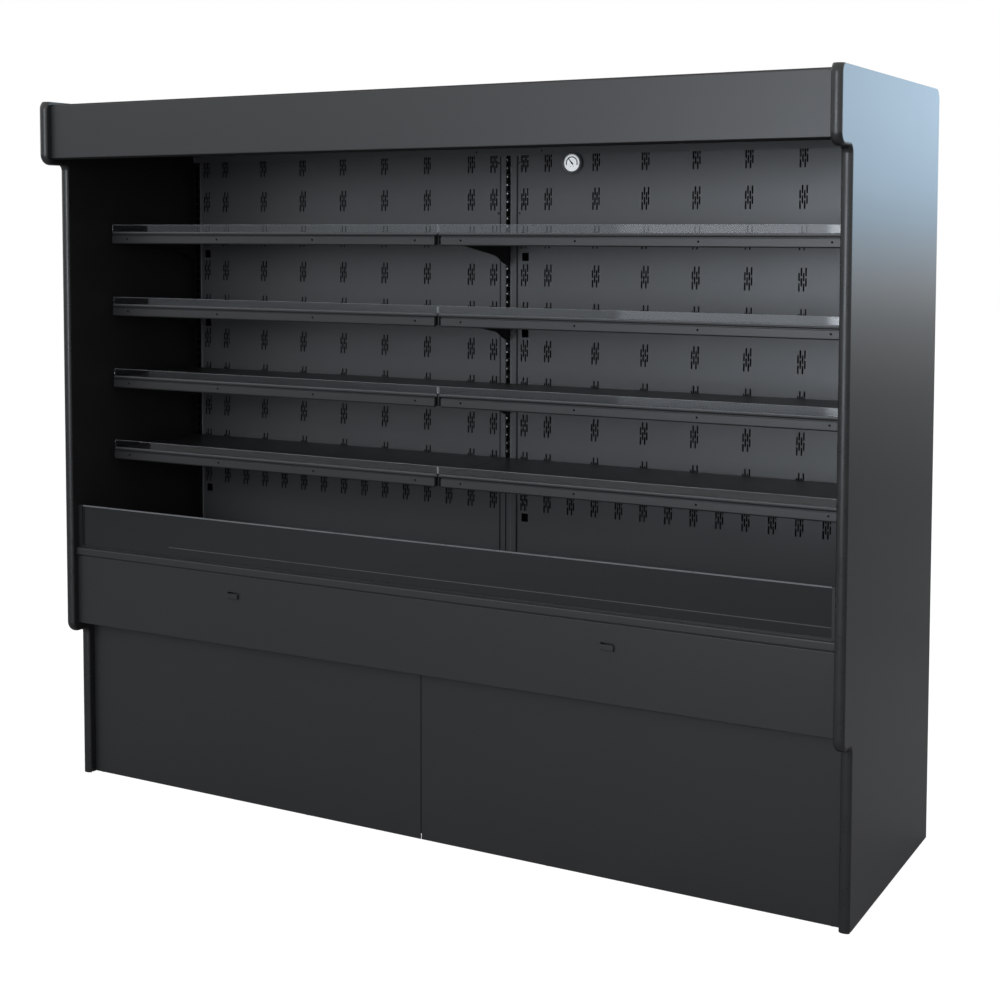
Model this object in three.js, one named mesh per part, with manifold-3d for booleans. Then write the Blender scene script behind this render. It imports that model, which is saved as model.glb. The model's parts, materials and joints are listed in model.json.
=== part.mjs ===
// An open multideck display fridge, eight feet long, with four levels of shelves in two bays.
// Millimetres, +Z up. The front faces -Y, the origin lies on the floor under the middle of the
// cabinet. Depths are given as distances in front of the rear face, see fromRear().

import * as THREE from 'three';
import { mergeVertices } from 'three/addons/utils/BufferGeometryUtils.js';
import Module from 'manifold-3d';

const wasm = await Module();
wasm.setup();

// ---------------------------------------------------------------- driving dimensions

// Cabinet
const cabinetWidth = 2438;
const cabinetHeight = 2089;
const seatGap = 0.3; // between pieces that touch
const steelSheet = 1.5;

// Stepped end panels and the domed trim on their front edges
const endPanelThickness = 28;
const endPanelFloorGap = 2;
const bodyReach = 813.5;
const canopyOverhang = 90.5; // past the body
const kickSetback = 68; // from the body
const canopyHeadHeight = 180;
const bodyBottomDrop = 13; // below the tub
const stepRadius = 24;
const topCornerRadius = 22;
const rearCornerRadius = 30;
const footCornerRadius = 8;
const trimDome = 9;
const trimBevelSteps = 2;
const cutMargin = 50; // how far a cutting block runs past what it cuts

// Insulated shell
const backWallThickness = 60;
const roofThickness = 63;
const tubBottom = 484;
const tubFloorThickness = 45;
const tubWallThickness = 45;
const tubWallRise = 37; // above the deck
const tubCornerRadius = 12;
const grilleLedgeWidth = 24;

// Shelf uprights and the air duct behind the perforated panels
const uprightReach = 205.5;
const uprightWidth = 57;
const uprightWall = 2.5;
const uprightDrop = 125; // from the top of the end panels
const slotPitch = 25.13;
const slotWidth = 12;
const slotHeight = 17;
const lowestSlot = 924.2;
const topSlotMargin = 50;
const sideSlotInset = 14;

// Perforated back panels
const backPanelSetback = 2;
const backPanelThickness = 2;
const backPanelDeckGap = 3;
const perforationWidth = 5;
const perforationLength = 67;
const perforationMargin = 20;
const groupPitch = 77.3;
const rowPitch = 114.3;
const lowestFullRow = 961.1;
const denseRowBottom = 857;
const wireHoleWidth = 22;
const wireHoleHeight = 24.5;
const wireHoleInset = 27;
const wireHoleHeights = [837, 1395, 1624];

// Shelves
const shelfLevels = 4;
const shelfHeadroom = 225; // least room over the top shelf
const shelfDepth = 424.2;
const shelfSheet = 2;
const shelfRearClearance = 5;
const shelfEndGap = 12;
const shelfMiddleGap = 1.5;
const shelfLipHeight = 3;
const shelfGrooveHeight = 6;
const shelfGrooveDepth = 4;
const shelfStripBottom = 30;
const shelfStripSheet = 1.2;
const shelfStripSetback = 9; // extra end gap of the front strip at the middle of the cabinet
const stripHoleRadius = 2.6;
const stripHoleInset = 66;
const stripHoleCount = 4;
const stripHoleDrop = 18;
const riserHeight = 25.5;
const riserThickness = 3;
const riserSetback = 3;
const bracketThickness = 3;
const bracketFootDrop = 2.6; // below the centre of the lower tab
const bracketNose = { length: 330, height: 26 };
const bracketMiddle = { length: 222, height: 43 };
const bracketKnee = { length: 66, height: 68 };
const bracketHeel = { length: 28, height: 90 };
const bracketTopSetback = 5;
const bracketTabLength = 8;
const bracketTabHeight = 9;
const bracketTabSlots = [0, 3]; // slots that the tabs enter, counted down from the hook
const hookDrop = 17; // deck surface above the centre of the slot that its upper tab enters

// Canopy, with heights as drops from the top of the end panels
const fasciaSetback = 15.5;
const fasciaDrop = 11.5;
const fasciaHeight = 156.9;
const fasciaReturn = 22;
const ceilingDrop = 123;
const honeycombDepth = 66;
const honeycombHeight = 14;
const honeycombClearance = 2.5;
const honeycombDrop = 140;
const honeycombLip = 8;
const honeycombRows = 2;
const honeycombCells = 14;
const honeycombWall = 6;
const lightSize = 14;
const lightEndGap = 90;
const headerDrop = 161;
const headerFlange = 26;

// Front
const frontPanelSetback = 16.5;
const frontPanelReturn = 22;
const frontPanelLift = 6; // of its lower edge above the tub's
const frontPanelGap = 1;
const railGap = 2;
const railHeight = 22;
const railProud = 6;
const railRadius = 5;
const glassSetback = 8;
const glassThickness = 6;
const glassHeight = 152.4;
const glassEndGap = 14.5;
const glassEdgeRadius = 1.5;
const channelClearance = 0.5;
const channelWall = 2;
const channelHeight = 31;
const channelBase = 3;
const catchWidth = 38;
const catchHeight = 16;
const catchDrop = 62;
const catchStandOff = 7;
const kickPanelSetback = 18.5;
const kickPanelBottom = 3;
const kickPanelTopGap = 2;
const kickPanelGap = 3;
const kickPanelReturn = 18;

// Deck
const coldSectionHeight = 136; // from the tub's floor to the deck
const deckSheet = 2;
const deckPanClearance = 9.5;
const deckPanFlange = 25;
const grilleDepth = 82;
const grilleSlotLength = 70;
const grilleSlotWidth = 30;
const grilleSlotPitch = 91.6;

// Evaporator section under the deck
const plenumSetback = 208; // from the tub's front wall
const fanMargin = 12.85;
const fanRingClearance = 4;
const fanBladeCount = 5;
const bladePitch = 20; // degrees
const bladeThickness = 2;
const motorRadiusShare = 0.5; // of the fan's radius
const motorLength = 30;
const motorBarWidth = 16;
const motorBarThickness = 3.5;
const shaftRadius = 4;
const shaftLength = 14;
const hubRadiusShare = 0.37; // of the fan's radius
const hubLength = 18;
const shaftClearance = 0.4;
const coilSetback = 92; // from the plenum
const coilRearGap = 64.5; // from the uprights
const coilEndGap = 70;
const coilHeadroom = 7.4;
const coilFinCount = 20;
const coilFinThickness = 34;
const coilSpine = 30;
const coilEndPlate = 4;
const bendRadius = 4.5;

// Base frame and machinery
const frameRailWidth = 50;
const frameRailBottom = 50;
const frameRailTop = 103.7;
const frameFrontClearance = 1.8;
const frameRearInset = 20;
const crossMemberWidth = 40;
const innerCrossMember = 390;
const footRadius = 22.7;
const footFrontInset = 26; // of its centre, from the frame's front
const footHeight = 12;
const footStemRadius = 8;
const framePostWidth = 32;
const framePostInset = 6;
const bulkheadThickness = 3;
const bulkheadWindow = 200;
const bulkheadClearance = 3;
const trayLeft = 150;
const trayEndGap = 50.7;
const trayRear = 60;
const trayFrontClearance = 16;
const trayFlange = 12;
const compressorPlace = { fromCondenser: 270, reach: 380 };
const compressorRadius = 95;
const compressorHeight = 245;
const compressorFootHeight = 16;
const condenserWidth = 340;
const condenserHeight = 300;
const condenserEndGap = 100;
const condenserFrontGap = 70;
const condenserDepth = 60;
const condenserFinCount = 12;
const condenserFinThickness = 15;
const condenserSpine = 20;
const shroudDepth = 45;
const condenserFanRadius = 125;
const condenserHubRadius = 32;
const condenserHubLength = 38;
const electricalBox = { fromTray: 30, width: 140, frontGap: 30, depth: 120, height: 200 };
const dripTray = { width: 420, rear: 40, depth: 420, height: 50, wall: 2.5 };
const rearCoverBottom = 60;
const louvreLength = 240;
const louvreHeight = 12;
const louvrePitch = 42;
const louvreRows = 5;
const louvreBanks = 4;

// Dial thermometer on the right back panel, half over the header strip
const thermometerX = 210.5;
const thermometerDrop = 26; // of its centre, below the header strip's edge
const thermometerRadius = 33;
const thermometerBossRadius = 20;
const thermometerRimDepth = 2.5;
const thermometerDepth = 8;
const thermometerRim = 6.5;
const thermometerFace = 3;
const thermometerLens = 6;
const thermometerLensThickness = 1.2;
const needleLength = 21;
const needleTail = 7;
const needleWidth = 2.4;
const needleTip = 0.6;
const needleThickness = 1.2;
const needleHubRadius = 3;
const needlePinRadius = 1;
const needleBoreRadius = 1.3;
const needleRestAngle = 130; // degrees from +X towards +Z

// ---------------------------------------------------------------- derived sizes

const canopyReach = bodyReach + canopyOverhang;
const kickReach = bodyReach - kickSetback;
const cabinetDepth = canopyReach + trimDome;
const canopyHeadBottom = cabinetHeight - canopyHeadHeight;
const bodyBottom = tubBottom - bodyBottomDrop;
const insideHalfWidth = cabinetWidth / 2 - endPanelThickness;
const fitHalfWidth = insideHalfWidth - seatGap;
const frontPanelReach = bodyReach - frontPanelSetback;
const kickPanelReach = kickReach - kickPanelSetback;
const kickPanelTop = tubBottom - kickPanelTopGap;
const machineFront = kickPanelReach - kickPanelReturn - bulkheadClearance;
const frameFrontReach = kickPanelReach - frameFrontClearance;
const tubFloor = tubBottom + tubFloorThickness;
const deckTop = tubFloor + coldSectionHeight;
const tubWallTop = deckTop + tubWallRise;
const tubRear = backWallThickness + seatGap;
const tubFrontReach = frontPanelReach - frontPanelReturn;
const tubInnerFront = tubFrontReach - tubWallThickness;
const uprightTop = cabinetHeight - uprightDrop;
const backPanelReach = uprightReach - backPanelSetback;
const slotCount = Math.floor((uprightTop - topSlotMargin - lowestSlot) / slotPitch) + 1;
const bayLeft = uprightWidth / 2;
const bayRight = insideHalfWidth - uprightWidth / 2;
const bayCentre = (bayLeft + bayRight) / 2;
const bayWidth = bayRight - bayLeft;
const sideSlotX = insideHalfWidth - sideSlotInset;
const groupColumns = Math.floor((bayWidth / 2 - perforationMargin) / groupPitch);
const rowSpan = uprightTop - perforationMargin / 2 - perforationLength - lowestFullRow;
const fullRowCount = Math.floor(rowSpan / rowPitch) + 1;
const fasciaReach = canopyReach - fasciaSetback;
const fasciaTop = cabinetHeight - fasciaDrop;
const fasciaBottom = fasciaTop - fasciaHeight;
const roofTop = fasciaTop - steelSheet - seatGap;
const backWallTop = roofTop - roofThickness - seatGap;
const ceilingBottom = cabinetHeight - ceilingDrop;
const ceilingFront = fasciaReach - fasciaReturn - honeycombClearance - honeycombDepth;
const honeycombSeat = cabinetHeight - honeycombDrop;
const headerBottom = cabinetHeight - headerDrop;
const lowestShelfSlot = bracketTabSlots.at(-1); // counted from the lowest slot
const bracketHeight = hookDrop + lowestShelfSlot * slotPitch + bracketFootDrop;
const lowestShelf = lowestSlot + lowestShelfSlot * slotPitch + hookDrop;
const shelfSpan = headerBottom - shelfHeadroom - lowestShelf;
const slotsPerLevel = Math.floor(shelfSpan / ((shelfLevels - 1) * slotPitch));
const frontPanelTop = tubWallTop - frontPanelGap;
const frontPanelBottom = tubBottom + frontPanelLift;
const catchCentre = frontPanelTop - catchDrop;
const glassReach = frontPanelReach - glassSetback;
const railBottom = tubWallTop + railGap;
const railTop = railBottom + railHeight;
const railReach = frontPanelReach + railProud;
const channelTop = tubWallTop + channelHeight;
const glassBottom = tubWallTop + channelBase + 2 * seatGap;
const glassTop = glassBottom + glassHeight;
const deckSeat = deckTop - deckSheet - seatGap;
const deckPanRear = uprightReach + deckPanClearance;
const deckPanFront = tubInnerFront - grilleDepth;
const plenumReach = tubInnerFront - plenumSetback;
const fanCentre = (tubFloor + deckSeat) / 2;
const fanRadius = (deckSeat - tubFloor) / 2 - fanMargin;
const motorRadius = fanRadius * motorRadiusShare;
const hubRadius = fanRadius * hubRadiusShare;
const coilFront = plenumReach - coilSetback;
const coilRear = uprightReach + coilRearGap;
const coilHeight = deckSeat - tubFloor - coilHeadroom;
const coilHalfLength = fitHalfWidth - coilEndGap;
const shelfLength = insideHalfWidth - shelfEndGap - shelfMiddleGap;
const shelfCentre = shelfMiddleGap + shelfLength / 2;
const shelfRear = uprightReach + shelfRearClearance;
const shelfReach = shelfRear + shelfDepth;
const stripHoleSpacing = (shelfLength - 2 * stripHoleInset) / (stripHoleCount - 1);
const outerCrossMember = fitHalfWidth - footRadius;
const crossMembers = [-outerCrossMember, -innerCrossMember, innerCrossMember, outerCrossMember];
const trayRight = fitHalfWidth - trayEndGap;
const trayFront = machineFront - trayFrontClearance;
const condenserLeft = trayRight - condenserEndGap - condenserWidth;
const condenserRear = trayFront - condenserFrontGap - condenserDepth;
const compressorX = condenserLeft - compressorPlace.fromCondenser;
const thermometerZ = headerBottom - thermometerDrop;
const sides = [['left', -1], ['right', 1]];

/** Y of a face that lies the given distance in front of the rear face. */
const fromRear = (distance) => cabinetDepth / 2 - distance;
const slotZ = (index) => lowestSlot + index * slotPitch;
const shelfZ = (level) => slotZ(lowestShelfSlot + level * slotsPerLevel) + hookDrop;

// ---------------------------------------------------------------- finishes

const finish = {
  charcoalSteel: { color: 0x35373a, roughness: 0.38, metalness: 0.35 },
  innerSteel: { color: 0x3f4246, roughness: 0.5, metalness: 0.35 },
  blackTrim: { color: 0x232527, roughness: 0.35, metalness: 0.0 },
  blackSteel: { color: 0x17181a, roughness: 0.5, metalness: 0.4 },
  smokedGlass: { color: 0x3a3c3f, roughness: 0.08, metalness: 0.0 },
  clearPlastic: { color: 0xa9b1b6, roughness: 0.12, metalness: 0.0 },
  zincSteel: { color: 0xa4a8aa, roughness: 0.42, metalness: 0.8 },
  aluminium: { color: 0xb9bcbe, roughness: 0.4, metalness: 0.85 },
  copper: { color: 0xb06a44, roughness: 0.35, metalness: 0.9 },
  blackEnamel: { color: 0x101112, roughness: 0.3, metalness: 0.1 },
  greyPlastic: { color: 0x6b6e70, roughness: 0.55, metalness: 0.0 },
  dialWhite: { color: 0xe8eae8, roughness: 0.5, metalness: 0.0 },
  lensClear: { color: 0xd5dde0, roughness: 0.08, metalness: 0.0 },
  needle: { color: 0x1c1d1f, roughness: 0.4, metalness: 0.0 },
};

// ---------------------------------------------------------------- shape helpers

/** A closed shape from [u, v] or [u, v, radius] corners, the rounded ones with true arcs. */
function filletedShape(corners) {
  const shape = new THREE.Shape();
  corners.forEach(([u, v, radius = 0], index) => {
    const corner = new THREE.Vector2(u, v);
    const before = corners.at(index - 1);
    const after = corners[(index + 1) % corners.length];
    const toBefore = new THREE.Vector2(before[0], before[1]).sub(corner).normalize();
    const toAfter = new THREE.Vector2(after[0], after[1]).sub(corner).normalize();
    const moveOrLine = (x, y) => (index === 0 ? shape.moveTo(x, y) : shape.lineTo(x, y));
    if (radius <= 0) {
      moveOrLine(u, v);
      return;
    }
    const half = Math.acos(THREE.MathUtils.clamp(toBefore.dot(toAfter), -1, 1)) / 2;
    const start = corner.clone().addScaledVector(toBefore, radius / Math.tan(half));
    const end = corner.clone().addScaledVector(toAfter, radius / Math.tan(half));
    const inward = toBefore.clone().add(toAfter).normalize();
    const centre = corner.clone().addScaledVector(inward, radius / Math.sin(half));
    const startAngle = Math.atan2(start.y - centre.y, start.x - centre.x);
    const endAngle = Math.atan2(end.y - centre.y, end.x - centre.x);
    moveOrLine(start.x, start.y);
    shape.absarc(centre.x, centre.y, radius, startAngle, endAngle, toBefore.cross(toAfter) > 0);
  });
  shape.closePath();
  return shape;
}

/** A side profile: corners given as [distance from the rear, height, radius]. */
function sideProfile(corners) {
  return filletedShape(corners.map(([reach, z, radius]) => [fromRear(reach), z, radius]));
}

/** The side profile of a folded sheet: the outer fold line, thickened towards its right. */
function foldedProfile(line, thickness = steelSheet) {
  const points = line.map(([reach, z]) => new THREE.Vector2(reach, z));
  const directions = points.slice(1).map((point, i) => point.clone().sub(points[i]).normalize());
  const inner = points.map((point, i) => {
    const before = directions[Math.max(i - 1, 0)];
    const after = directions[Math.min(i, directions.length - 1)];
    const rightBefore = new THREE.Vector2(before.y, -before.x);
    const rightAfter = new THREE.Vector2(after.y, -after.x);
    const miter = rightBefore.clone().add(rightAfter);
    return point.clone().addScaledVector(miter, thickness / (1 + rightBefore.dot(rightAfter)));
  });
  const outline = points.concat(inner.reverse());
  return sideProfile(outline.map((point) => [point.x, point.y]));
}

function rectangle(u0, v0, u1, v1) {
  return filletedShape([[u0, v0], [u1, v0], [u1, v1], [u0, v1]]);
}

/** Extrudes one or more shapes drawn in the YZ plane from x0 to x1. */
function extrudeX(shape, x0, x1, options = {}) {
  const settings = { depth: x1 - x0, bevelEnabled: false, curveSegments: 3, ...options };
  const geometry = new THREE.ExtrudeGeometry(shape, settings);
  const axes = [new THREE.Vector3(0, 1, 0), new THREE.Vector3(0, 0, 1), new THREE.Vector3(1, 0, 0)];
  geometry.applyMatrix4(new THREE.Matrix4().makeBasis(...axes));
  return geometry.translate(x0, 0, 0);
}

/** Extrudes one or more shapes drawn in the XZ plane between two distances from the rear. */
function extrudeY(shape, rearReach, frontReach, curveSegments = 6) {
  const settings = { depth: frontReach - rearReach, bevelEnabled: false, curveSegments };
  const geometry = new THREE.ExtrudeGeometry(shape, settings);
  return geometry.rotateX(Math.PI / 2).translate(0, fromRear(rearReach), 0);
}

/** Extrudes one or more shapes drawn in the XY plane from z0 to z1. */
function extrudeZ(shape, z0, z1) {
  const settings = { depth: z1 - z0, bevelEnabled: false, curveSegments: 6 };
  return new THREE.ExtrudeGeometry(shape, settings).translate(0, 0, z0);
}

/** A box between two x values, two distances from the rear and two heights. */
function box(x0, x1, rearReach, frontReach, z0, z1) {
  const geometry = new THREE.BoxGeometry(x1 - x0, frontReach - rearReach, z1 - z0);
  const y = fromRear((rearReach + frontReach) / 2);
  return geometry.translate((x0 + x1) / 2, y, (z0 + z1) / 2);
}

/** A round bar along Y between two distances from the rear. */
function barY(x, z, radius, rearReach, frontReach, facets = 16) {
  const geometry = new THREE.CylinderGeometry(radius, radius, frontReach - rearReach, facets);
  return geometry.translate(x, fromRear((rearReach + frontReach) / 2), z);
}

/** A round bar along Z. */
function barZ(x, y, radius, z0, z1, facets = 12) {
  const geometry = new THREE.CylinderGeometry(radius, radius, z1 - z0, facets);
  return geometry.rotateX(Math.PI / 2).translate(x, y, (z0 + z1) / 2);
}

/** Only positions, with shared corners merged, as a closed solid needs. */
function bare(geometry) {
  const copy = geometry.clone();
  copy.deleteAttribute('normal');
  copy.deleteAttribute('uv');
  return mergeVertices(copy, 1e-4);
}

function toSolid(geometry) {
  const merged = bare(geometry);
  const vertProperties = new Float32Array(merged.attributes.position.array);
  const triVerts = new Uint32Array(merged.index.array);
  return new wasm.Manifold(new wasm.Mesh({ numProp: 3, vertProperties, triVerts }));
}

function toGeometry(solid) {
  const { vertProperties, triVerts } = solid.getMesh();
  const geometry = new THREE.BufferGeometry();
  geometry.setAttribute('position', new THREE.BufferAttribute(vertProperties, 3));
  geometry.setIndex(new THREE.BufferAttribute(triVerts, 1));
  return geometry;
}

/** Joins the first list of geometries and cuts the second list from them. */
function joinAndCut(joined, cuts = []) {
  const whole = joined.map(toSolid).reduce((sum, solid) => sum.add(solid));
  return toGeometry(cuts.map(toSolid).reduce((rest, solid) => rest.subtract(solid), whole));
}

function mesh(name, geometry, look) {
  const item = new THREE.Mesh(geometry, new THREE.MeshStandardMaterial(look));
  item.name = name;
  return item;
}

// ---------------------------------------------------------------- end panels and trims

/** The stepped outline of an end panel, grown outwards by the given amount. */
function endOutline(grow) {
  const convex = stepRadius + grow;
  const concave = stepRadius - grow;
  return sideProfile([
    [-grow, endPanelFloorGap - grow],
    [kickReach + grow, endPanelFloorGap - grow, footCornerRadius + grow],
    [kickReach + grow, bodyBottom - grow, concave],
    [bodyReach + grow, bodyBottom - grow, convex],
    [bodyReach + grow, canopyHeadBottom - grow, concave],
    [canopyReach + grow, canopyHeadBottom - grow, convex],
    [canopyReach + grow, cabinetHeight + grow, topCornerRadius + grow],
    [-grow, cabinetHeight + grow, rearCornerRadius + grow],
  ]);
}

function endPanelGeometry() {
  return extrudeX(endOutline(0), 0, endPanelThickness);
}

/** The trim is a dome as wide as the panel that follows every step of its front edge. */
function edgeTrimGeometry() {
  const middle = endPanelThickness / 2;
  const dome = extrudeX(endOutline(seatGap), middle, middle + 0.01, {
    bevelEnabled: true,
    bevelSize: trimDome - seatGap,
    bevelThickness: middle - 0.01,
    bevelSegments: trimBevelSteps,
  });
  const [x0, x1] = [-1, endPanelThickness + 1];
  const panel = extrudeX(endOutline(seatGap), x0, x1);
  const [behind, ahead] = [-cutMargin, canopyReach + cutMargin];
  const above = cabinetHeight + cutMargin;
  return joinAndCut([dome], [
    panel,
    box(x0, x1, behind, kickReach - footCornerRadius, -cutMargin, bodyBottom),
    box(x0, x1, behind, kickReach, bodyBottom - 2 * trimDome, above),
    box(x0, x1, behind, ahead, -cutMargin, endPanelFloorGap),
    box(x0, x1, behind, ahead, cabinetHeight, above),
  ]);
}

function endAssembly() {
  const group = new THREE.Group();
  const panel = endPanelGeometry();
  const trim = edgeTrimGeometry();
  for (const [side, sign] of sides) {
    const end = new THREE.Group();
    end.position.x = sign > 0 ? insideHalfWidth : -cabinetWidth / 2;
    end.add(mesh(`end_panel_${side}`, panel, finish.charcoalSteel));
    end.add(mesh(`edge_trim_${side}`, trim, finish.blackTrim));
    group.add(end);
  }
  return group;
}

// ---------------------------------------------------------------- insulated shell

function tubGeometry() {
  const ledge = tubInnerFront - grilleLedgeWidth;
  return extrudeX(sideProfile([
    [tubRear, tubBottom],
    [tubFrontReach, tubBottom],
    [tubFrontReach, tubWallTop],
    [tubInnerFront, tubWallTop],
    [tubInnerFront, deckSeat],
    [ledge, deckSeat],
    [ledge, tubFloor, tubCornerRadius],
    [tubRear, tubFloor],
  ]), -fitHalfWidth, fitHalfWidth);
}

function shellAssembly() {
  const group = new THREE.Group();
  const backWall = box(-fitHalfWidth, fitHalfWidth, 0, backWallThickness, tubBottom, backWallTop);
  const roof = extrudeX(sideProfile([
    [0, roofTop - roofThickness],
    [fasciaReach - steelSheet - seatGap, roofTop - roofThickness],
    [fasciaReach - steelSheet - seatGap, roofTop],
    [0, roofTop, rearCornerRadius],
  ]), -fitHalfWidth, fitHalfWidth);
  group.add(mesh('insulated_tub', tubGeometry(), finish.blackSteel));
  group.add(mesh('back_wall', backWall, finish.charcoalSteel));
  group.add(mesh('canopy_roof', roof, finish.charcoalSteel));
  return group;
}

// ---------------------------------------------------------------- back panels and uprights

/** A channel open to the rear, with a column of slots in its face. */
function uprightGeometry(x0, x1, slotX) {
  const slots = [];
  for (let index = 0; index < slotCount; index += 1) {
    const z = slotZ(index) - slotHeight / 2;
    slots.push(rectangle(slotX - slotWidth / 2, z, slotX + slotWidth / 2, z + slotHeight));
  }
  const face = box(x0, x1, uprightReach - uprightWall, uprightReach, tubFloor + seatGap, uprightTop);
  const cutter = extrudeY(slots, uprightReach - 2 * uprightWall, uprightReach + 1);
  const legs = [x0, x1 - uprightWall].map((x) => box(
    x, x + uprightWall, tubRear, uprightReach - uprightWall / 2, tubFloor + seatGap, uprightTop,
  ));
  return joinAndCut([face, ...legs], [cutter]);
}

/** One air slot, given by its centre line and its lowest point. */
function airSlot(x, bottom) {
  const half = perforationWidth / 2;
  return rectangle(x - half, bottom, x + half, bottom + perforationLength);
}

/** The perforated panel of one bay, drawn about x = 0. */
function backPanelGeometry(wireHoleX) {
  const half = bayWidth / 2 - seatGap;
  const rear = backPanelReach - backPanelThickness;
  const holes = [];
  const denseColumns = Array.from({ length: 2 * groupColumns + 1 }, (_, i) => i - groupColumns);
  const columns = denseColumns.filter((column) => (
    column % 2 === 0 || Math.abs(column) === groupColumns
  ));
  for (const column of denseColumns) {
    holes.push(airSlot(column * groupPitch, denseRowBottom));
  }
  for (let row = 0; row < fullRowCount; row += 1) {
    for (const column of columns) {
      holes.push(airSlot(column * groupPitch, lowestFullRow + row * rowPitch));
    }
  }
  for (const z of wireHoleHeights) {
    const x = wireHoleX - wireHoleWidth / 2;
    const bottom = z - wireHoleHeight / 2;
    holes.push(rectangle(x, bottom, x + wireHoleWidth, bottom + wireHoleHeight));
  }
  const bottom = deckTop + backPanelDeckGap;
  const sheet = box(-half, half, rear, backPanelReach, bottom, uprightTop);
  return joinAndCut([sheet], [extrudeY(holes, rear - 1, backPanelReach + 1)]);
}

function backAssembly() {
  const group = new THREE.Group();
  const half = uprightWidth / 2;
  const side = uprightGeometry(bayRight, fitHalfWidth, sideSlotX);
  const sideLeft = uprightGeometry(-fitHalfWidth, -bayRight, -sideSlotX);
  group.add(mesh('upright_left', sideLeft, finish.innerSteel));
  group.add(mesh('upright_center', uprightGeometry(-half, half, 0), finish.innerSteel));
  group.add(mesh('upright_right', side, finish.innerSteel));
  const panel = backPanelGeometry(wireHoleInset - bayWidth / 2);
  for (const [name, sign] of sides) {
    const item = mesh(`back_panel_${name}`, panel, finish.innerSteel);
    item.position.x = sign * bayCentre;
    group.add(item);
  }
  return group;
}

// ---------------------------------------------------------------- canopy

function fasciaGeometry() {
  const innerWall = fasciaReach - fasciaReturn;
  return extrudeX(foldedProfile([
    [innerWall - honeycombLip, honeycombSeat - steelSheet],
    [innerWall, honeycombSeat - steelSheet],
    [innerWall, fasciaBottom],
    [fasciaReach, fasciaBottom],
    [fasciaReach, fasciaTop],
    [innerWall, fasciaTop],
  ].reverse()), -fitHalfWidth, fitHalfWidth);
}

function ceilingGeometry() {
  const top = ceilingBottom + steelSheet;
  return extrudeX(foldedProfile([
    [uprightReach + 3, top],
    [ceilingFront, top],
    [ceilingFront, honeycombSeat],
    [ceilingFront + honeycombLip, honeycombSeat],
  ]), -fitHalfWidth, fitHalfWidth);
}

/** The air discharge grid: rows of square cells in a shallow slab. */
function honeycombGeometry() {
  const half = fitHalfWidth - seatGap;
  const rear = ceilingFront + seatGap;
  const bottom = honeycombSeat + seatGap;
  const cells = [];
  const cellWidth = (2 * half - honeycombWall) / honeycombCells - honeycombWall;
  const cellDepth = (honeycombDepth - honeycombWall) / honeycombRows - honeycombWall;
  for (let row = 0; row < honeycombRows; row += 1) {
    for (let cell = 0; cell < honeycombCells; cell += 1) {
      const x = -half + honeycombWall + cell * (cellWidth + honeycombWall);
      const reach = rear + honeycombWall + row * (cellDepth + honeycombWall);
      cells.push(rectangle(x, fromRear(reach + cellDepth), x + cellWidth, fromRear(reach)));
    }
  }
  const slab = box(-half, half, rear, rear + honeycombDepth, bottom, bottom + honeycombHeight);
  return joinAndCut([slab], [extrudeZ(cells, bottom - 1, bottom + honeycombHeight + 1)]);
}

function canopyAssembly() {
  const group = new THREE.Group();
  const header = extrudeX(foldedProfile([
    [uprightReach + seatGap + steelSheet, headerBottom],
    [uprightReach + seatGap + steelSheet, ceilingBottom - seatGap - steelSheet],
    [uprightReach + headerFlange, ceilingBottom - seatGap - steelSheet],
  ].reverse()), -fitHalfWidth, fitHalfWidth);
  const lightFront = fasciaReach - fasciaReturn - seatGap;
  const lightTop = honeycombSeat - steelSheet - seatGap;
  const light = box(
    lightEndGap - fitHalfWidth, fitHalfWidth - lightEndGap, lightFront - lightSize, lightFront,
    lightTop - lightSize, lightTop,
  );
  group.add(mesh('canopy_fascia', fasciaGeometry(), finish.charcoalSteel));
  group.add(mesh('canopy_ceiling', ceilingGeometry(), finish.innerSteel));
  group.add(mesh('air_honeycomb', honeycombGeometry(), finish.blackTrim));
  group.add(mesh('header_strip', header, finish.innerSteel));
  group.add(mesh('canopy_light', light, finish.clearPlastic));
  return group;
}

// ---------------------------------------------------------------- front

/** The lower front panel, folded back at both edges, with two lanced catches for a blind. */
function frontPanelGeometry() {
  const rear = tubFrontReach + seatGap;
  const sheet = extrudeX(foldedProfile([
    [rear, frontPanelBottom],
    [frontPanelReach, frontPanelBottom],
    [frontPanelReach, frontPanelTop],
    [rear, frontPanelTop],
  ].reverse()), -fitHalfWidth, fitHalfWidth);
  const catches = [];
  const slots = [];
  for (const [, sign] of sides) {
    const x0 = sign * bayCentre - catchWidth / 2;
    const bottom = catchCentre - catchHeight / 2;
    const hook = extrudeX(foldedProfile([
      [frontPanelReach - steelSheet, bottom],
      [frontPanelReach + catchStandOff, bottom],
      [frontPanelReach + catchStandOff, bottom + catchHeight],
    ].reverse()), x0, x0 + catchWidth);
    catches.push(hook);
    const slotBottom = bottom + 2 * steelSheet;
    slots.push(box(x0, x0 + catchWidth, rear, frontPanelReach + 1, slotBottom, slotBottom + catchHeight));
  }
  return joinAndCut([joinAndCut([sheet], slots), ...catches]);
}

function railGeometry() {
  const rear = glassReach + channelClearance + channelWall + seatGap;
  return extrudeX(sideProfile([
    [rear, railBottom],
    [railReach, railBottom, railRadius],
    [railReach, railTop, railRadius],
    [rear, railTop],
  ]), -fitHalfWidth, fitHalfWidth);
}

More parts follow.
